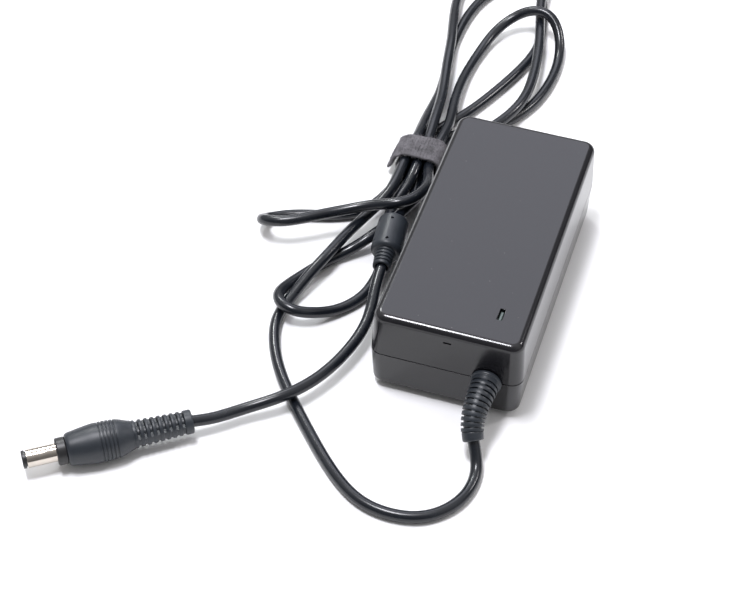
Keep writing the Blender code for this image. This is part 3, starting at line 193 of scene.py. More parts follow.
def turned(name, profile, sides):
    """A body turned about X through (place along X, radius) pairs."""
    put_down()
    x, radius = profile[0]
    bpy.ops.mesh.primitive_plane_add(size=MM, location=(0.0, 0.0, 0.0))
    obj = bpy.context.object
    obj.name = name
    edit(obj, "VERT")
    bpy.ops.mesh.select_all(action="SELECT")
    bpy.ops.mesh.merge(type="CENTER")
    bpy.ops.transform.translate(value=(x, 0.0, radius))
    for (x0, r0), (x1, r1) in zip(profile, profile[1:]):
        shift((x1 - x0, 0.0, r1 - r0))
    bpy.ops.mesh.select_all(action="SELECT")
    bpy.ops.mesh.spin(steps=sides, angle=2 * math.pi, center=(0, 0, 0), axis=(1, 0, 0))
    bpy.ops.mesh.select_all(action="SELECT")
    bpy.ops.mesh.remove_doubles(threshold=1e-6)
    bpy.ops.mesh.normals_make_consistent(inside=False)
    put_down()
    return obj


def run_modifier(obj, kind, **settings):
    take(obj)
    step = obj.modifiers.new(kind.title(), kind)
    for name, value in settings.items():
        setattr(step, name, value)
    bpy.ops.object.modifier_apply(modifier=step.name)


def carve(obj, *tools, operation="DIFFERENCE"):
    for tool in tools:
        run_modifier(obj, "BOOLEAN", operation=operation, solver="EXACT", object=tool)
        bpy.data.objects.remove(tool, do_unlink=True)


def join(name, *parts):
    """Joins helpers into one object."""
    put_down()
    for obj in parts:
        obj.select_set(True)
    bpy.context.view_layer.objects.active = parts[0]
    bpy.ops.object.join()
    parts[0].name = name
    put_down()
    return parts[0]


def soften(obj, width, segments=2, angle=35.0):
    """Rounds the edges that are still sharp."""
    run_modifier(obj, "BEVEL", width=width, segments=segments, limit_method="ANGLE",
                 angle_limit=math.radians(angle), use_clamp_overlap=True,
                 miter_outer="MITER_ARC")


def smooth(obj, angle=40.0, weighted=True):
    take(obj)
    bpy.ops.object.shade_smooth_by_angle(angle=math.radians(angle))
    if weighted:
        run_modifier(obj, "WEIGHTED_NORMAL", keep_sharp=True)
    put_down()


def settle(obj, matrix):
    """Puts a body made about the origin in its place, and keeps that in its mesh."""
    take(obj)
    obj.matrix_world = matrix
    bpy.ops.object.transform_apply(location=True, rotation=True, scale=True)
    put_down()


def along(start, way):
    """The placing that turns +X to way, with +Z as near upright as it can be."""
    way = Vector(way).normalized()
    side = Vector((0, 0, 1)).cross(way).normalized()
    up = way.cross(side)
    turn = Matrix((way, side, up)).transposed().to_4x4()
    return Matrix.Translation(start) @ turn


def piece(obj, slot, finish, *nodes):
    """Gives the piece its finish, hangs it under the body's empty and hides the CAD nodes that it
    stands for.
    """
    obj.data.materials.clear()
    obj.data.materials.append(finish)
    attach(obj, BODY)
    if nodes:
        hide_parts(*nodes)
    return obj


# ---- finishes ------------------------------------------------------------------------

DUST_COLOUR = (0.45, 0.43, 0.4)
SCUFF_COLOUR = (0.12, 0.115, 0.11)


def link(tree, source, output, target, field):
    tree.links.new(source.outputs[output], target.inputs[field])


def noise(tree, place, size, detail, stretch=None):
    """Cloudy noise whose features are about size metres long."""
    node = tree.nodes.new("ShaderNodeTexNoise")
    node.inputs["Scale"].default_value = 1.0 / size
    node.inputs["Detail"].default_value = detail
    if stretch:
        turn = tree.nodes.new("ShaderNodeMapping")
        turn.inputs["Scale"].default_value = stretch
        link(tree, place, "Object", turn, "Vector")
        link(tree, turn, "Vector", node, "Vector")
    else:
        link(tree, place, "Object", node, "Vector")
    return node


def spread(tree, source, low, high, start=0.3, end=0.7, output="Fac"):
    """Maps noise to a range of values."""
    node = tree.nodes.new("ShaderNodeMapRange")
    for field, value in (("From Min", start), ("From Max", end), ("To Min", low), ("To Max", high)):
        node.inputs[field].default_value = value
    link(tree, source, output, node, "Value")
    return node


def tint(tree, mask, below, above, output="Result"):
    """Mixes two colours, or a colour and a node's colour, by a mask."""
    node = tree.nodes.new("ShaderNodeMix")
    node.data_type = "RGBA"
    link(tree, mask, output, node, "Factor")
    for field, colour in ((6, below), (7, above)):
        if isinstance(colour, tuple):
            node.inputs[field].default_value = (*colour, 1.0)
        else:
            tree.links.new(colour.outputs[2 if colour.type == "MIX" else 0], node.inputs[field])
    return node


def bump(tree, height, output, depth, before=None):
    node = tree.nodes.new("ShaderNodeBump")
    node.inputs["Distance"].default_value = depth
    node.inputs["Strength"].default_value = 1.0
    tree.links.new(height.outputs[output], node.inputs["Height"])
    if before:
        link(tree, before, "Normal", node, "Normal")
    return node


def surface(name, colour, roughness, metallic=0.0, grain=0.4 * MM, depth=0.01 * MM,
            patches=12 * MM, variety=0.12, gloss_variety=0.05, dust=0.0, scuffs=0.0, **sockets):
    """A moulded, painted or plated surface: fine grain, soft patches, dust and scuffs."""
    made = bpy.data.materials.new(name)
    made.use_nodes = True
    tree = made.node_tree
    shader = tree.nodes["Principled BSDF"]
    shader.inputs["Metallic"].default_value = metallic
    for field, value in sockets.items():
        shader.inputs[field.replace("_", " ")].default_value = value
    place = tree.nodes.new("ShaderNodeTexCoord")
    wide = noise(tree, place, patches, 3.0)
    fine = noise(tree, place, grain, 2.0)
    darker = tuple(c * (1.0 - variety) for c in colour)
    lighter = tuple(min(1.0, c * (1.0 + variety)) for c in colour)
    paint = tint(tree, spread(tree, wide, 0.0, 1.0), darker, lighter)
    gloss = spread(tree, wide, roughness - gloss_variety, roughness + gloss_variety)
    relief = bump(tree, fine, "Fac", depth)
    if dust:
        specks = tree.nodes.new("ShaderNodeTexVoronoi")
        specks.inputs["Scale"].default_value = 1.0 / (2.2 * MM)
        link(tree, place, "Object", specks, "Vector")
        dot = spread(tree, specks, dust, 0.0, 0.03, 0.055, "Distance")
        sparse = spread(tree, noise(tree, place, 3.1 * MM, 0.0), 0.0, 1.0, 0.56, 0.6)
        both = tree.nodes.new("ShaderNodeMath")
        both.operation = "MULTIPLY"
        link(tree, dot, "Result", both, 0)
        link(tree, sparse, "Result", both, 1)
        paint = tint(tree, both, paint, DUST_COLOUR, "Value")
    if scuffs:
        marks = noise(tree, place, 5 * MM, 6.0, (0.35, 2.2, 1.0))
        rub = spread(tree, marks, 0.0, scuffs, 0.6, 0.78)
        paint = tint(tree, rub, paint, SCUFF_COLOUR)
    tree.links.new(paint.outputs[2], shader.inputs["Base Color"])
    link(tree, gloss, "Result", shader, "Roughness")
    link(tree, relief, "Normal", shader, "Normal")
    return made


def case_finish(name, colour, roughness):
    """Spark-textured black plastic: pebbled grain that glitters on the edges."""
    made = surface(name, colour, roughness, grain=0.35 * MM, depth=0.002 * MM,
                   patches=18 * MM, variety=0.1, gloss_variety=0.02, dust=0.35, scuffs=0.02)
    tree = made.node_tree
    place = next(n for n in tree.nodes if n.type == "TEX_COORD")
    relief = next(n for n in tree.nodes if n.type == "BUMP")
    pebbles = tree.nodes.new("ShaderNodeTexVoronoi")
    pebbles.inputs["Scale"].default_value = 1.0 / (0.45 * MM)
    link(tree, place, "Object", pebbles, "Vector")
    second = bump(tree, pebbles, "Distance", 0.004 * MM, relief)
    link(tree, second, "Normal", tree.nodes["Principled BSDF"], "Normal")
    return made


def make_finishes():
    """The finish of each material slot."""
    return {
        "case_plastic": case_finish("case_plastic_finish", (0.0095, 0.0095, 0.0115), 0.18),
        "component_black": surface("component_black_finish", (0.014, 0.014, 0.015), 0.4),
        "soft_black": surface("soft_black_finish", (0.019, 0.0235, 0.03), 0.42,
                              grain=0.3 * MM, depth=0.01 * MM, patches=5 * MM, dust=0.35),
        "cord_jacket": surface("cord_jacket_finish", (0.0075, 0.0095, 0.0135), 0.24,
                               grain=0.7 * MM, depth=0.003 * MM, patches=9 * MM, dust=0.3),
        "foot_rubber": surface("foot_rubber_finish", (0.03, 0.03, 0.03), 0.75, depth=0.02 * MM),
        "blank_label": surface("blank_label_finish", (0.05, 0.05, 0.056), 0.42,
                               grain=0.2 * MM, depth=0.002 * MM),
        "nickel_plate": surface("nickel_plate_finish", (0.6, 0.55, 0.49), 0.13, 1.0,
                                grain=0.25 * MM, depth=0.001 * MM, patches=3 * MM, variety=0.06),
        "contact_brass": surface("contact_brass_finish", (0.62, 0.42, 0.17), 0.28, 1.0,
                                 depth=0.002 * MM, patches=2 * MM),
        "zinc_steel": surface("zinc_steel_finish", (0.6, 0.6, 0.58), 0.34, 1.0,
                              depth=0.004 * MM, patches=3 * MM),
        "sink_aluminium": surface("sink_aluminium_finish", (0.7, 0.7, 0.71), 0.38, 1.0,
                                  grain=0.5 * MM, depth=0.004 * MM, patches=6 * MM),
        "copper_wire": surface("copper_wire_finish", (0.62, 0.24, 0.1), 0.3, 1.0,
                               grain=0.6 * MM, depth=0.03 * MM, patches=3 * MM),
        "dark_ferrite": surface("dark_ferrite_finish", (0.05, 0.05, 0.052), 0.65,
                                grain=0.5 * MM, depth=0.02 * MM),
        "board_laminate": surface("board_laminate_finish", (0.42, 0.28, 0.11), 0.5,
                                  grain=1.1 * MM, depth=0.005 * MM, variety=0.2),
        "insulating_film": surface("insulating_film_finish", (0.02, 0.02, 0.02), 0.4),
        "blue_ceramic": surface("blue_ceramic_finish", (0.05, 0.15, 0.42), 0.42,
                                grain=0.8 * MM, depth=0.03 * MM, patches=3 * MM),
        "yellow_tape": surface("yellow_tape_finish", (0.72, 0.5, 0.06), 0.36,
                               grain=0.9 * MM, depth=0.01 * MM, patches=4 * MM),
        "brown_resin": surface("brown_resin_finish", (0.19, 0.075, 0.035), 0.42,
                               patches=4 * MM),
        "light_pipe_clear": surface("light_pipe_finish", (0.13, 0.17, 0.16), 0.12,
                                    grain=0.5 * MM, depth=0.002 * MM, patches=1.5 * MM,
                                    Transmission_Weight=0.35, IOR=1.49),
        "led_green": surface("led_green_finish", (0.1, 0.42, 0.14), 0.15, patches=2 * MM,
                             Transmission_Weight=0.3),
        "wire_red": surface("wire_red_finish", (0.5, 0.02, 0.02), 0.38, patches=3 * MM),
        "wire_white": surface("wire_white_finish", (0.72, 0.71, 0.67), 0.38, patches=3 * MM),
        "wire_green": surface("wire_green_finish", (0.1, 0.38, 0.07), 0.38, patches=3 * MM),
        "strap_tape": surface("strap_tape_finish", (0.12, 0.115, 0.125), 0.85,
                              grain=0.35 * MM, depth=0.12 * MM, patches=3 * MM, variety=0.4,
                              gloss_variety=0.1, dust=0.25),
    }


def paint_nodes(finishes):
    """Gives every node of the frame the finish of its slot."""
    for entry in frame["record"]["subparts"]:
        node = frame["nodes"].get(entry["node"])
        if node:
            node.data.materials.clear()
            node.data.materials.append(finishes[entry["material_slot"]])


# ---- the lead's line -----------------------------------------------------------------

def smooth_curve(points, samples):
    """A cubic spline with steady curvature through points, read at equal steps."""
    p = np.array(points, dtype=float)
    chord = np.linalg.norm(np.diff(p, axis=0), axis=1) ** 0.5
    n = len(p)
    system = np.zeros((n, n))
    right = np.zeros((n, 3))
    system[0, 0] = system[-1, -1] = 1.0
    for i in range(1, n - 1):
        before, after = chord[i - 1], chord[i]
        system[i, i - 1:i + 2] = before, 2.0 * (before + after), after
        right[i] = 6.0 * ((p[i + 1] - p[i]) / after - (p[i] - p[i - 1]) / before)
    second = np.linalg.solve(system, right)
    curve = []
    for i, span in enumerate(chord):
        for s in np.arange(samples) / samples * span:
            rest = span - s
            curve.append((second[i] * rest ** 3 + second[i + 1] * s ** 3) / (6.0 * span)
                         + (p[i] / span - second[i] * span / 6.0) * rest
                         + (p[i + 1] / span - second[i + 1] * span / 6.0) * s)
    curve.append(p[-1])
    return np.array(curve)


def poly_curve(name, points):
    """A curve object of straight steps through close points."""
    data = bpy.data.curves.new(name, "CURVE")
    data.dimensions = "3D"
    spline = data.splines.new("POLY")
    spline.points.add(len(points) - 1)
    for place, point in zip(spline.points, points):
        place.co = (*point, 1.0)
    obj = bpy.data.objects.new(name, data)
    bpy.context.scene.collection.objects.link(obj)
    return obj


def make_cord(finish):
    cord = poly_curve("output_lead", smooth_curve(ROUTE, 9) * MM)
    cord.data.bevel_depth = CORD_DIAMETER / 2
    cord.data.bevel_resolution = 9
    cord.data.use_fill_caps = True
    for spline in cord.data.splines:
        spline.use_smooth = True
    return piece(cord, "cord_jacket", finish, "output_cord")


# ---- case ----------------------------------------------------------------------------

def upright(edge):
    """True for an edge that stands nearly upright."""
    way = edge.verts[1].co - edge.verts[0].co
    return abs(way.z) > 0.9 * way.length


def level_at(z):
    """A test for faces that are level and lie at height z."""
    return lambda face: (abs(face.normal.z) > 0.9
                         and abs(face.calc_center_median().z - z) < 0.05 * MM)


def ring_at(z):
    """A test for edges that lie at height z."""
    return lambda edge: all(abs(v.co.z - z) < 0.02 * MM for v in edge.verts)


def shell(name, low, high, closed_z, draft, edge):
    """A box with rounded uprights, whose walls lean in towards its rounded closed side."""
    obj = block(name, low, high)
    edit(obj, "EDGE")
    pick(obj, upright, "edges")
    bpy.ops.mesh.bevel(offset=CORNER, segments=10, affect="EDGES", clamp_overlap=False)
    bpy.ops.mesh.select_mode(type="FACE")
    pick(obj, level_at(closed_z))
    size = Vector(high) - Vector(low)
    centre = (Vector(low) + Vector(high)) / 2
    bpy.ops.transform.resize(value=(1 - 2 * draft[0] / size.x, 1 - 2 * draft[1] / size.y, 1.0),
                             center_override=(centre.x, centre.y, closed_z))
    bpy.ops.mesh.select_mode(type="EDGE")
    pick(obj, ring_at(closed_z), "edges")
    bpy.ops.mesh.bevel(offset=edge, segments=8, affect="EDGES", clamp_overlap=False)
    return obj


def sink_face(obj, z, inset, depth):
    """Insets the level face at z and pushes it along Z."""
    bpy.ops.mesh.select_mode(type="FACE")
    pick(obj, level_at(z))
    bpy.ops.mesh.inset(thickness=inset, depth=0.0, use_even_offset=True)
    shift((0.0, 0.0, depth))


def make_case(finishes):
    """The two hollow halves, with the openings for the inlet, the boot and the lamp."""
    low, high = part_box("upper_case")
    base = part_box("lower_case")[0]
    inlet_low, inlet_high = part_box("inlet_housing")
    lamp_low, lamp_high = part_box("light_pipe")
    top = shell("case_top_shell", (low.x, low.y, low.z), high, high.z, DRAFT_TOP, TOP_EDGE)
    sink_face(top, low.z, UPPER_LIP_INSET, LIP_HEIGHT + SEAM)
    sink_face(top, low.z + LIP_HEIGHT + SEAM, UPPER_WALL_INSET,
              high.z - WALL - low.z - LIP_HEIGHT - SEAM)
    foot_z, seam_z = base.z, PARTING - SEAM / 2
    bottom = shell("case_bottom_shell", (low.x, low.y, foot_z), (high.x, high.y, seam_z),
                   foot_z, DRAFT_BOTTOM, BOTTOM_EDGE)
    bpy.ops.mesh.select_mode(type="FACE")
    pick(bottom, level_at(seam_z))
    bpy.ops.mesh.inset(thickness=LOWER_LIP_INSET, depth=0.0, use_even_offset=True)
    shift((0.0, 0.0, LIP_HEIGHT + SEAM / 2))
    lip_z = seam_z + LIP_HEIGHT + SEAM / 2
    sink_face(bottom, lip_z, LOWER_WALL_INSET, foot_z + WALL - lip_z)
    bpy.ops.transform.resize(value=(1 - FLOOR_NARROWER / (high.x - low.x),
                                    1 - FLOOR_NARROWER / (high.y - low.y), 1.0),
                             center_override=(0.0, 0.0, foot_z + WALL))
    put_down()
    for obj in (top, bottom):
        carve(obj, inlet_opening(inlet_low, inlet_high, high.y), boot_opening(low.y))
    window = block("window",
                   (lamp_low.x + LAMP_FRAME, lamp_low.y + LAMP_FRAME, high.z - 3 * MM),
                   (lamp_high.x - LAMP_FRAME, lamp_high.y - LAMP_FRAME, high.z + MM))
    mark = block("mark", (MARK_X[0], low.y - MM, MARK_Z[0]),
                 (MARK_X[1], low.y + MARK_DEPTH, MARK_Z[1]))
    carve(top, window, mark)
    for obj in (top, bottom):
        soften(obj, CASE_ROUNDING)
        smooth(obj)
    piece(top, "case_plastic", finishes["case_plastic"], "upper_case")
    piece(bottom, "case_plastic", finishes["case_plastic"], "lower_case")


def inlet_opening(low, high, end):
    """The opening in the end wall round the inlet's face."""
    middle = (low.z + high.z) / 2
    half_x, half_z = INLET_HALF[0] + INLET_GAP, INLET_HALF[1] + INLET_GAP
    return block("inlet_opening", (-half_x, end - 3 * WALL, middle - half_z),
                 (half_x, end + WALL, middle + half_z))


def boot_opening(end):
    """The round hole in the near wall that the boot's neck fills."""
    hole = turned("boot_opening", [(-3 * WALL, 0.0), (-3 * WALL, BOOT_HOLE),
                                   (3 * WALL, BOOT_HOLE), (3 * WALL, 0.0)], 40)
    settle(hole, along((BOOT_X, end, PARTING), (0, 1, 0)))
    return hole


def make_lamp(finishes):
    """The end of the light pipe, a little below the top face with a rounded crown."""
    low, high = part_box("light_pipe")
    crown = high.z - 0.45 * MM
    pipe = block("lamp_window", (low.x + 0.95 * MM, low.y + 0.95 * MM, low.z),
                 (high.x - 0.95 * MM, high.y - 0.95 * MM, crown))
    edit(pipe, "EDGE")
    pick(pipe, ring_at(crown), "edges")
    bpy.ops.mesh.bevel(offset=0.35 * MM, segments=5, affect="EDGES")
    put_down()
    flange = block("pipe_flange", low, (high.x, high.y, low.z + 1.2 * MM))
    carve(pipe, flange, operation="UNION")
    smooth(pipe)
    piece(pipe, "light_pipe_clear", finishes["light_pipe_clear"], "light_pipe")


def make_feet(finishes):
    """Rubber feet with a softened tread edge and a shallow dish."""
    for number in range(1, 5):
        low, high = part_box(f"rubber_foot_{number}")
        radius, height = (high.x - low.x) / 2, high.z - low.z
        profile = [(height, 0.0), (height, radius), (0.3 * height, radius)]
        for step in range(1, 5):
            angle = math.radians(22.5 * step)
            profile.append((0.3 * height * (1 - math.sin(angle)),
                            radius - 0.2 * MM * (1 - math.cos(angle))))
        profile += [(0.0, radius - 0.9 * MM), (0.12 * MM, radius - 1.3 * MM), (0.12 * MM, 0.0)]
        foot = turned(f"table_foot_{number}", profile, 48)
        settle(foot, Matrix.Translation(((low.x + high.x) / 2, (low.y + high.y) / 2, low.z))
               @ Matrix.Rotation(math.radians(-90), 4, "Y"))
        smooth(foot, 35.0)
        piece(foot, "foot_rubber", finishes["foot_rubber"], f"rubber_foot_{number}")


def make_label(finishes):
    """A blank plate with rounded corners and a raised border."""
    low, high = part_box("rating_label")
    plate = block("blank_rating_plate", (low.x, low.y, low.z), high)
    edit(plate, "EDGE")
    pick(plate, upright, "edges")
    bpy.ops.mesh.bevel(offset=1.5 * MM, segments=6, affect="EDGES")
    bpy.ops.mesh.select_mode(type="FACE")
    pick(plate, level_at(low.z))
    bpy.ops.mesh.inset(thickness=0.8 * MM, depth=0.0)
    bpy.ops.mesh.inset(thickness=0.06 * MM, depth=-0.06 * MM)
    put_down()
    smooth(plate, 30.0)
    piece(plate, "blank_label", finishes["blank_label"], "rating_label")


def make_inlet(finishes):
    """The inlet's housing, with its deep six-sided socket and slots for the pins."""
    low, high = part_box("inlet_housing")
    middle = (low.z + high.z) / 2
    half_x = INLET_HALF[0]
    flange = (high.x - low.x) / 2 - half_x
    half_z = (high.z - low.z) / 2 - flange
    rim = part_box("lower_case")[1].y - WALL - INLET_RIM_GAP
    housing = block("mains_inlet", (-half_x, low.y, middle - half_z),
                    (half_x, high.y, middle + half_z))
    collar = block("inlet_flange", (low.x, rim - flange, low.z), (high.x, rim, high.z))
    carve(housing, collar, operation="UNION")
    wide, tall = SOCKET_HALF
    socket = block("socket", (-wide, high.y - SOCKET_DEPTH, middle - tall),
                   (wide, high.y + MM, middle + tall))
    edit(socket, "EDGE")
    pick(socket, lambda e: e.is_valid and abs((e.verts[1].co - e.verts[0].co).normalized().y) > 0.9
         and e.verts[0].co.z > middle, "edges")
    bpy.ops.mesh.bevel(offset=SOCKET_CHAMFER, segments=1, affect="EDGES")
    pick(socket, lambda e: abs((e.verts[1].co - e.verts[0].co).normalized().y) > 0.9, "edges")
    bpy.ops.mesh.bevel(offset=SOCKET_ROUNDING, segments=3, affect="EDGES")
    put_down()
    carve(housing, socket)
    for pin in ("line_pin", "neutral_pin", "earth_pin"):
        pin_low, pin_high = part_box(pin)
        edge = PIN_SLOT_GAP
        carve(housing, block("slot", (pin_low.x - edge, low.y - MM, pin_low.z - edge),
                             (pin_high.x + edge, high.y - PIN_SLOT_DEPTH, pin_high.z + edge)))
    soften(housing, 0.25 * MM, 3)
    smooth(housing)
    piece(housing, "component_black", finishes["component_black"], "inlet_housing")


# ---- slotted strain reliefs ----------------------------------------------------------

def round_profile(points, step):
    """More points between the given ones, so that the surface can bend."""
    dense = [points[0]]
    for (x0, r0), (x1, r1) in zip(points, points[1:]):
        count = max(1, math.ceil(abs(x1 - x0) / step))
        for i in range(1, count + 1):
            share = i / count
            dense.append((x0 + (x1 - x0) * share, r0 + (r1 - r0) * share))
    return dense


def wedge_slots(name, places, radius, web, narrow, wide, axis):
    """Cutters on both sides of a web: each slot is narrow at the web and opens outwards."""
    tools = []
    for x, half_web in zip(places, web):
        for side in (-1, 1):
            tool = block(name, (x - narrow / 2, half_web, -2 * radius),
                         (x + narrow / 2, 1.6 * radius, 2 * radius))
            edit(tool, "FACE")
            pick(tool, lambda face: face.normal.y > 0.9)
            bpy.ops.transform.resize(value=(wide / narrow, 1.0, 1.0),
                                     center_override=(x, 1.6 * radius, 0.0))
            put_down()
            turn = (0.0 if side > 0 else math.pi) + (math.pi / 2 if axis == "Z" else 0.0)
            settle(tool, Matrix.Rotation(turn, 4, "X"))
            tools.append(tool)
    return join(name, *tools)


def boot_line(samples):
    """The boot's axis: out of the wall, then bending down towards the cord."""
    start = np.array((BOOT_X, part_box("upper_case")[0].y, PARTING))
    end = np.array(ROUTE[0]) * MM
    way = end - np.array(ROUTE[1]) * MM
    way /= np.linalg.norm(way)
    end = end - way * 0.9 * MM
    reach = np.linalg.norm(end - start)
    lead_out = start + np.array((0.0, -1.0, 0.0)) * reach * 0.45
    lead_in = end + way * reach * 0.4
    t = np.linspace(0.0, 1.0, samples)[:, None]
    bent = ((1 - t) ** 3 * start + 3 * (1 - t) ** 2 * t * lead_out
            + 3 * (1 - t) * t ** 2 * lead_in + t ** 3 * end)
    inner = start + np.array((0.0, 4.6 * MM, 0.0))
    return np.vstack([[inner], bent])


def make_boot(finish):
    """Flange inside the wall, neck, outer flange, smooth cone, slotted ribs and end collar."""
    line = boot_line(60)
    lengths = np.linalg.norm(np.diff(line, axis=0), axis=1)
    out, end = lengths[0] + 0.3 * MM, lengths.sum()
    collar = end - 2.9 * MM
    cone = out + 1.3 * MM
    profile = [(0.6 * MM, 0.0), (0.6 * MM, 4.5 * MM), (2.1 * MM, 4.5 * MM), (2.1 * MM, 3.55 * MM),
               (out, 3.55 * MM), (out, 4.6 * MM), (out + 0.12 * MM, 4.72 * MM),
               (out + 0.75 * MM, 4.72 * MM), (out + 0.9 * MM, 4.62 * MM),
               (out + 0.95 * MM, 4.42 * MM), (cone, 4.4 * MM)]
    ribs = 10
    pitch = (collar - cone) / (ribs + 0.6)
    body = []
    for rib in range(ribs):
        x = cone + (rib + 0.85) * pitch
        share = (x - cone) / (collar - cone)
        body.append((x, 4.42 * MM + (3.35 * MM - 4.42 * MM) * share ** 0.85, share))
    for x, radius, share in body:
        for step, dip in ((-0.5, 0.32), (-0.3, 0.1), (0.0, 0.0), (0.3, 0.1)):
            profile.append((x + (step + 0.5) * pitch, radius - dip * 0.3 * MM))
    profile += [(collar, 2.95 * MM), (collar + 0.12 * MM, 3.05 * MM),
                (collar + 0.3 * MM, 3.18 * MM), (collar + 0.6 * MM, 3.22 * MM),
                (end - 0.5 * MM, 3.18 * MM), (end - 0.18 * MM, 3.05 * MM), (end, 2.75 * MM),
                (end, 2.35 * MM), (end - 0.7 * MM, 1.86 * MM), (end - 0.7 * MM, 0.0)]
    boot = turned("cord_boot", round_profile(profile, 0.45 * MM), 56)
    places = [x for x, _, _ in body]
    web = [MM * (1.1 - 0.8 * share ** 0.8) for _, _, share in body]
    carve(boot, wedge_slots("slots", places, 4.5 * MM, web, 0.3 * MM, 0.62 * pitch, "Y"))
    core = [(0.8 * MM, 0.0), (0.8 * MM, 3.5 * MM), (out, 3.5 * MM), (cone, 3.5 * MM),
            (collar, 2.6 * MM), (end - 0.8 * MM, 2.6 * MM), (end - 0.8 * MM, 0.0)]
    carve(boot, turned("boot_core", round_profile(core, 0.9 * MM), 40), operation="UNION")
    soften(boot, 0.09 * MM, 2, 40.0)
    path = poly_curve("boot_line", line)
    path.data.twist_mode = "Z_UP"
    run_modifier(boot, "CURVE", object=path, deform_axis="POS_X")
    bpy.data.objects.remove(path, do_unlink=True)
    smooth(boot, 50.0)
    return piece(boot, "soft_black", finish, "output_strain_relief")


def arc(x, radius, size, start, end, steps, flip=1.0):
    """Points of a rounded edge whose centre is (x, radius)."""
    points = []
    for step in range(steps + 1):
        angle = math.radians(start + (end - start) * step / steps)
        points.append((x + flip * size * math.cos(angle), radius + size * math.sin(angle)))
    return points


BEAD_BODY = 14.0 * MM                # without its short relief
BEAD_RADIUS = 5.05 * MM
BEAD_BORE = 1.9 * MM


def make_bead(finishes):
    """A moulded jacket with rounded ends, pin holes and a short slotted relief, bored through for
    the cord.
    """
    back, front = BEAD_BACK, BEAD_FRONT
    way = (front - back).normalized()
    length = (front - back).length - 2 * TIP_GAP
    body, radius, bore = BEAD_BODY, BEAD_RADIUS, BEAD_BORE
    profile = [(0.0, bore)] + arc(1.1 * MM, radius - 1.1 * MM, 1.1 * MM, 180, 90, 6)
    profile += arc(body - 1.5 * MM, radius - 1.5 * MM, 1.5 * MM, 90, 12, 7)
    profile += [(body, 3.35 * MM), (body + 0.1 * MM, 3.3 * MM)]
    relief = length - body
    ribs = 4
    pitch = (relief - 0.9 * MM) / ribs
    for rib in range(ribs):
        x = body + 0.1 * MM + rib * pitch
        full = (3.3 - 0.09 * rib) * MM
        profile += [(x + 0.35 * pitch, full), (x + 0.42 * pitch, full - 0.12 * MM),
                    (x + 0.46 * pitch, full - 0.45 * MM), (x + 0.74 * pitch, full - 0.45 * MM),
                    (x + 0.78 * pitch, full - 0.12 * MM), (x + 0.86 * pitch, full)]
    profile += [(length - 0.2 * MM, 2.95 * MM), (length, 2.75 * MM), (length, 2.2 * MM),
                (length - 0.4 * MM, bore), (0.0, bore)]
    jacket = turned("bead_jacket", profile, 64)
    holes = []
    for at in (0.2, 0.82):
        for number, angle in enumerate((-62.0, 0.0, 58.0)):
            size = (0.5 if number == 1 else 0.36) * MM
            hole = turned("hole", [(0.0, 0.0), (0.0, size), (2 * MM, size), (2 * MM, 0.0)], 20)
            turn = Matrix.Rotation(math.radians(angle), 4, "X")
            place = turn @ Vector((body * at, 0.0, radius - 0.85 * MM))
            settle(hole, along(place, turn @ Vector((0, 0, 1))) if number != 1 else
                   Matrix.Translation(place) @ Matrix.Rotation(-math.pi / 2, 4, "Y"))
            holes.append(hole)
    carve(jacket, join("holes", *holes))
    soften(jacket, 0.08 * MM, 2, 40.0)
    settle(jacket, along(back + way * TIP_GAP, way))
    smooth(jacket, 45.0)
    return piece(jacket, "soft_black", finishes["soft_black"], "bead_overmould")


# ---- plug ----------------------------------------------------------------------------

BARREL_LENGTH = 10.0 * MM
BARREL_RADIUS = 2.75 * MM
BARREL_BORE = 2.35 * MM
BARREL_SEAT = 1.5 * MM               # how deep it sits in the collar
INSULATOR_BORE = 1.7 * MM
COLLAR_LENGTH = 3.0 * MM
COLLAR_GAP = 0.03 * MM
PLUG_BODY = 19.6 * MM


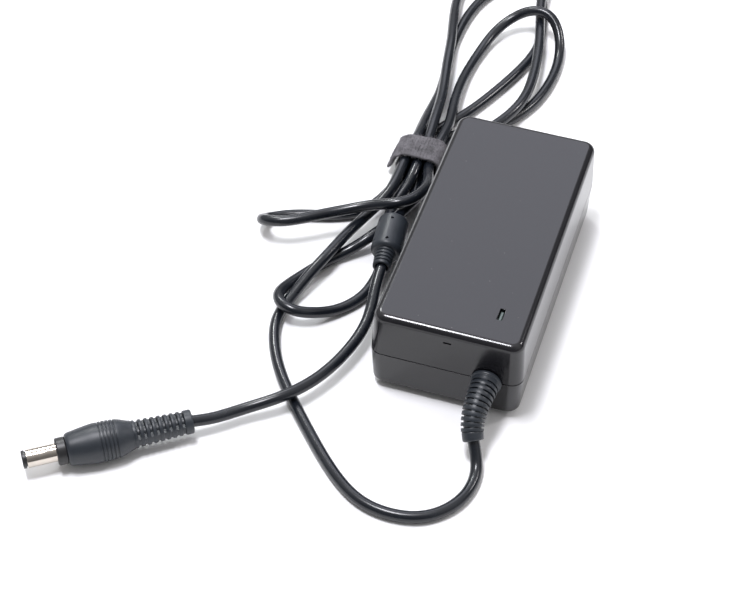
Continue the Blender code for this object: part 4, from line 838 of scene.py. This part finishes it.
def make_plug(finishes):
    """The grip, the collar and the barrel with its insulator and spring contact."""
    start = Vector(ROUTE[-1]) * MM
    way = (PLUG_TIP - start).normalized()
    total = (PLUG_TIP - start).length
    place = along(start, way)
    relief = total - BARREL_LENGTH - COLLAR_LENGTH - PLUG_BODY
    grip = make_grip(relief, PLUG_BODY)
    pieces = [piece(grip, "soft_black", finishes["soft_black"], "plug_body")]
    face = relief + PLUG_BODY + COLLAR_GAP
    shoulder = total - BARREL_LENGTH
    seat = shoulder - BARREL_SEAT
    ring = turned("plug_collar_ring", [(face, 0.0)] + arc(face + 0.35 * MM, 3.75 * MM, 0.35 * MM,
                                                         180, 90, 4)
                  + arc(shoulder - 0.55 * MM, 3.55 * MM, 0.55 * MM, 90, 0, 6)
                  + [(shoulder, 3.0 * MM), (shoulder - 0.15 * MM, 2.85 * MM),
                     (seat, 2.85 * MM), (seat, 0.0)], 72)
    pieces.append(piece(ring, "component_black", finishes["component_black"], "plug_collar"))
    outer, bore = BARREL_RADIUS, BARREL_BORE
    foot, rim = seat + TIP_GAP, total - 1.0 * MM
    tube = turned("plug_barrel_sleeve",
                  [(foot, bore)] + [(foot, outer)] + arc(rim - 0.42 * MM, outer - 0.12 * MM,
                                                         0.12 * MM, 90, 0, 4)
                  + [(rim - 0.3 * MM, bore), (foot, bore)], 72)
    pieces.append(piece(tube, "nickel_plate", finishes["nickel_plate"], "plug_barrel"))
    inner = INSULATOR_BORE
    insulator = turned("plug_tip_insulator",
                       [(foot, inner), (foot, 2.2 * MM), (rim, 2.2 * MM), (rim, outer - 0.06 * MM)]
                       + arc(total - 0.3 * MM, outer - 0.36 * MM, 0.3 * MM, 90, 0, 5)
                       + arc(total - 0.25 * MM, inner + 0.25 * MM, 0.25 * MM, 0, -90, 4)
                       + [(foot, inner)], 72)
    pieces.append(piece(insulator, "component_black", finishes["component_black"],
                        "plug_insulator_ring"))
    contact = turned("plug_spring_contact",
                     [(foot, 1.25 * MM), (foot, 1.55 * MM), (total - 0.75 * MM, 1.55 * MM),
                      (total - 0.6 * MM, 1.48 * MM), (total - 0.6 * MM, 1.32 * MM),
                      (total - 0.9 * MM, 1.25 * MM), (foot, 1.25 * MM)], 48)
    slits = []
    for turn in (45.0, 135.0):
        slit = block("slit", (total - 5 * MM, -2 * MM, -0.12 * MM), (total, 2 * MM, 0.12 * MM))
        settle(slit, Matrix.Rotation(math.radians(turn), 4, "X"))
        slits.append(slit)
    carve(contact, *slits)
    pieces.append(piece(contact, "contact_brass", finishes["contact_brass"],
                        "plug_inner_contact"))
    for obj in pieces:
        settle(obj, place)
        smooth(obj, 40.0)
    return pieces


def make_grip(relief, body):
    """The moulded grip: end collar, slotted relief, swelling body with ring grooves."""
    profile = [(-0.3 * MM, 0.0), (-0.3 * MM, 2.4 * MM)]
    profile += arc(0.2 * MM, 3.15 * MM, 0.5 * MM, 180, 90, 4)
    profile += arc(1.9 * MM, 3.35 * MM, 0.3 * MM, 90, 0, 3)
    start, slots = 2.3 * MM, 8
    profile.append((2.25 * MM, 3.2 * MM))
    pitch = (relief - start) / slots
    places = []
    for slot in range(slots):
        x = start + slot * pitch
        full = (3.65 + 0.6 * slot / slots) * MM
        for share, dip in ((0.02, 0.32), (0.36, 0.32), (0.44, 0.1), (0.56, 0.0), (0.8, 0.0),
                           (0.94, 0.1)):
            profile.append((x + share * pitch, full - dip * MM))
        places.append(x + 0.19 * pitch)
    rings, ring_pitch, first = 5, 1.12 * MM, relief + 0.25 * body
    swell = ((0.0, 4.3), (0.03, 4.42), (0.08, 4.75), (0.14, 5.25), (0.2, 5.62))
    profile += [(relief + share * body, radius * MM) for share, radius in swell]
    for ring in range(rings):
        x = first + ring * ring_pitch
        full = (6.0 - 0.024 * (ring - 3) ** 2) * MM
        profile += [(x, full), (x + 0.05 * MM, full - 0.09 * MM), (x + 0.09 * MM, full - 0.32 * MM),
                    (x + 0.31 * MM, full - 0.32 * MM), (x + 0.35 * MM, full - 0.09 * MM),
                    (x + 0.4 * MM, full)]
    # share of the body's length, radius in mm
    taper = ((0.58, 5.96), (0.65, 5.83), (0.72, 5.62), (0.8, 5.42), (0.88, 5.18), (0.94, 4.98),
             (0.965, 4.86), (0.985, 4.66),
             (0.997, 4.4), (1.0, 4.1), (1.0, 0.0))
    profile += [(relief + share * body, radius * MM) for share, radius in taper]
    grip = turned("plug_grip", profile, 72)
    web = [1.3 * MM] * slots
    carve(grip, wedge_slots("slots", places, 4.4 * MM, web, 0.4 * pitch, 0.6 * pitch, "Z"))
    core = turned("grip_core", [(1.0 * MM, 0.0), (1.0 * MM, 2.0 * MM), (relief + MM, 2.2 * MM),
                                (relief + MM, 0.0)], 40)
    carve(grip, core, operation="UNION")
    soften(grip, 0.07 * MM, 2, 42.0)
    return grip


# ---- strap ---------------------------------------------------------------------------

STRAP_WIDTH = 11.0 * MM
STRAP_THICKNESS = 1.1 * MM
STRAP_Y = 50.0 * MM
STRAP_CENTRE = (-36.15, 5.45)        # x and z in mm, as are the next two
STRAP_HALF = (7.05, 4.85)
STRAP_CORNER = 2.85
STRAP_ROWS = 22
PILE_COUNT = 9000


def strap_line():
    """One turn round the bundle and a loose tail over its left shoulder, as (x, z)."""
    (cx, cz), (a, b), r = STRAP_CENTRE, STRAP_HALF, STRAP_CORNER
    points = [(cx - a, cz + 0.4), (cx - a, cz - b + r)]
    for corner, (sx, sz) in enumerate(((-1, -1), (1, -1), (1, 1), (-1, 1))):
        for step in range(9):
            angle = math.radians(180.0 + 90.0 * (corner + step / 8))
            points.append((cx + sx * (a - r) + r * math.cos(angle),
                           cz + sz * (b - r) + r * math.sin(angle)))
    points = points[:-4]
    for dx, dz in ((-a - 1.1, b - 2.1), (-a - 1.6, 0.6), (-a - 2.4, -1.2), (-a - 3.4, -2.6)):
        points.append((cx + dx, cz + dz))
    return smooth_curve([(x, 0.0, z) for x, z in points], 4)[:, (0, 2)] * MM


def make_strap(finishes):
    """The tape with its waves and cloudy surface, and the pile that grows on it."""
    line = strap_line()
    put_down()
    bpy.ops.mesh.primitive_plane_add(size=MM)
    strap = bpy.context.object
    strap.name = "cable_tie_strap"
    edit(strap, "VERT")
    bpy.ops.mesh.select_all(action="SELECT")
    bpy.ops.mesh.merge(type="CENTER")
    bpy.ops.transform.translate(value=(line[0][0], STRAP_Y - STRAP_WIDTH / 2, line[0][1]))
    for (x0, z0), (x1, z1) in zip(line, line[1:]):
        shift((x1 - x0, 0.0, z1 - z0))
    bpy.ops.mesh.select_all(action="SELECT")
    for _ in range(STRAP_ROWS):
        shift((0.0, STRAP_WIDTH / STRAP_ROWS, 0.0))
    bpy.ops.mesh.select_all(action="SELECT")
    bpy.ops.mesh.normals_make_consistent(inside=False)
    put_down()
    rng = random.Random(5)
    phase = [rng.uniform(0.0, 2 * math.pi) for _ in range(4)]
    for v in strap.data.vertices:
        near = 1.0 - (v.co.y - (STRAP_Y - STRAP_WIDTH / 2)) / STRAP_WIDTH
        wave = 0.35 * math.sin(v.co.x / MM * 0.55 + phase[0])
        wave += 0.2 * math.sin(v.co.x / MM * 1.3 + v.co.z / MM * 0.7 + phase[1])
        v.co.y += wave * MM * (near - 0.4)
        v.co.z += 0.16 * MM * math.sin(v.co.y / MM * 0.8 + phase[2]) * min(1.0, v.co.z / (4 * MM))
    run_modifier(strap, "SOLIDIFY", thickness=STRAP_THICKNESS - 0.25 * MM, offset=0.0,
                 use_even_offset=True)
    run_modifier(strap, "SUBSURF", levels=1, render_levels=1)
    clouds = bpy.data.textures.new("loop pile", "CLOUDS")
    clouds.noise_scale = 0.9 * MM
    clouds.noise_depth = 2
    run_modifier(strap, "DISPLACE", texture=clouds, strength=0.35 * MM, mid_level=0.5,
                 texture_coords="GLOBAL")
    smooth(strap, 70.0, weighted=False)
    piece(strap, "strap_tape", finishes["strap_tape"], "cable_strap")
    return [strap, make_pile(strap, finishes["strap_tape"])]


def make_pile(strap, finish):
    """Short curled fibres over the strap, longer along its far, frayed edge."""
    rng = random.Random(11)
    faces = [(f.center.copy(), f.normal.copy(), f.area) for f in strap.data.polygons]
    faces.sort(key=lambda face: tuple(round(c / MM, 4) for c in face[0]))     # a steady order
    weights = [area for _, _, area in faces]
    points, blades = [], []
    for centre, normal, _ in rng.choices(faces, weights=weights, k=PILE_COUNT):
        frayed = centre.y > STRAP_Y + STRAP_WIDTH / 2 - 0.9 * MM
        height = rng.uniform(0.25, 0.6) * MM * (1.5 if frayed else 1.0)
        lean = Vector((rng.gauss(0, 1), rng.gauss(0.5 if frayed else 0.0, 1), rng.gauss(0, 1)))
        lean = (lean - normal * lean.dot(normal)) * 0.35 * MM
        side = normal.cross(lean).normalized() * 0.035 * MM
        root = centre + Vector([rng.uniform(-0.2, 0.2) * MM for _ in range(3)]) - normal * 0.1 * MM
        middle = root + normal * height * 0.75 + lean * 0.5
        tip = root + normal * height * rng.uniform(0.6, 1.0) + lean * 1.4
        if tip.z < 0.05 * MM:
            continue
        first = len(points)
        points += [root - side, root + side, middle + side, middle - side, tip]
        blades += [(first, first + 1, first + 2, first + 3), (first + 3, first + 2, first + 4)]
    mesh = bpy.data.meshes.new("strap_pile")
    mesh.from_pydata(points, [], blades)
    pile = bpy.data.objects.new("strap_pile", mesh)
    bpy.context.scene.collection.objects.link(pile)
    return piece(pile, "strap_tape", finish)


# ---- room ----------------------------------------------------------------------------

SKY_LOW = 0.35
SKY_TOP = 0.95
SKY_COLOUR = (1.0, 0.99, 1.0, 1.0)
DARK_ZONES = (
    # direction, level there, cosines where it starts and ends
    ((0.62, 0.68, 0.3), 0.3, 0.72, 0.93),
    ((0.0, -0.9, 0.42), 0.3, 0.3, 0.85),
)
LAMPS = (
    # name, direction, distance, size, power, colour
    ("window_behind", (-0.19, 0.69, 0.72), 1.6, (0.95, 0.7), 3.3, (0.92, 0.94, 1.1)),
    ("softbox_left", (-0.48, 0.5, 0.7), 1.2, (0.16, 0.16), 3.4, (0.97, 1.0, 0.99)),
    ("softbox_right", (0.64, 0.48, 0.6), 1.2, (0.16, 0.16), 2.6, (1.0, 0.97, 0.98)),
    ("softbox_above", (-0.17, -0.08, 0.98), 1.2, (0.34, 0.2), 11.5, (0.98, 0.98, 1.04)),
)
CAMERA_PLACE = Vector((85.47, -401.98, 423.55)) * MM
CAMERA_YAW, CAMERA_PITCH, CAMERA_ROLL = 17.318, 46.23, 0.831       # degrees
CAMERA_LENS = 90.8
SENSOR_WIDTH = 36.0
TABLE_SIZE = 6.0
TABLE_COLOUR = (0.95, 0.95, 0.95)


def make_room():
    put_down()
    bpy.ops.mesh.primitive_plane_add(size=TABLE_SIZE, location=(0.0, 0.0, 0.0))
    floor = bpy.context.object
    floor.name = "pale_table"
    floor.data.materials.append(surface("pale_table_finish", TABLE_COLOUR, 0.6,
                                        grain=6 * MM, depth=0.0, patches=300 * MM,
                                        variety=0.004, gloss_variety=0.02,
                                        Specular_IOR_Level=0.15))


def softbox(name, way, distance, size, power, colour):
    """A soft oblong lamp that faces the middle of the case."""
    way = Vector(way).normalized()
    put_down()
    bpy.ops.object.light_add(type="AREA", location=way * distance)
    lamp = bpy.context.object
    lamp.name = name
    lamp.rotation_euler = (-way).to_track_quat("-Z", "Y").to_euler()
    lamp.data.shape = "RECTANGLE"
    lamp.data.size, lamp.data.size_y = size
    lamp.data.energy = power
    lamp.data.color = colour


def make_light():
    """A pale room, darker low down, in front and behind the right side, with four lamps."""
    world = bpy.data.worlds.new("studio")
    bpy.context.scene.world = world
    world.use_nodes = True
    tree = world.node_tree
    back = tree.nodes["Background"]
    place = tree.nodes.new("ShaderNodeTexCoord")
    split = tree.nodes.new("ShaderNodeSeparateXYZ")
    link(tree, place, "Generated", split, "Vector")
    rise = spread(tree, split, SKY_LOW, SKY_TOP, 0.0, 0.85, "Z")
    level, field = rise, "Result"
    for way, dark, start, end in DARK_ZONES:
        facing = tree.nodes.new("ShaderNodeVectorMath")
        facing.operation = "DOT_PRODUCT"
        facing.inputs[1].default_value = Vector(way).normalized()
        link(tree, place, "Generated", facing, 0)
        shade = spread(tree, facing, 1.0, dark, start, end, "Value")
        product = tree.nodes.new("ShaderNodeMath")
        product.operation = "MULTIPLY"
        link(tree, level, field, product, 0)
        link(tree, shade, "Result", product, 1)
        level, field = product, "Value"
    link(tree, level, field, back, "Strength")
    back.inputs["Color"].default_value = SKY_COLOUR
    for lamp in LAMPS:
        softbox(*lamp)


def make_camera():
    put_down()
    yaw, pitch, roll = (math.radians(turn) for turn in (CAMERA_YAW, CAMERA_PITCH, CAMERA_ROLL))
    ahead = Vector((-math.sin(yaw) * math.cos(pitch), math.cos(yaw) * math.cos(pitch),
                    -math.sin(pitch)))
    right = Vector((math.cos(yaw), math.sin(yaw), 0.0))
    up = right.cross(ahead)
    across = right * math.cos(roll) + up * math.sin(roll)
    over = up * math.cos(roll) - right * math.sin(roll)
    bpy.ops.object.camera_add(location=CAMERA_PLACE)
    camera = bpy.context.object
    camera.rotation_euler = Matrix((across, over, -ahead)).transposed().to_euler()
    camera.data.lens = CAMERA_LENS
    camera.data.sensor_width = SENSOR_WIDTH
    camera.data.clip_start = 0.01
    bpy.context.scene.camera = camera
    bpy.context.scene.view_settings.view_transform = "Standard"


def main():
    make_camera()
    finishes = make_finishes()
    cord = make_cord(finishes["cord_jacket"])
    paint_nodes(finishes)
    make_case(finishes)
    make_lamp(finishes)
    make_feet(finishes)
    make_label(finishes)
    make_inlet(finishes)
    on_cord = [make_boot(finishes["soft_black"]), make_bead(finishes)]
    on_cord += make_plug(finishes)
    on_cord += make_strap(finishes)
    make_room()
    make_light()


main()
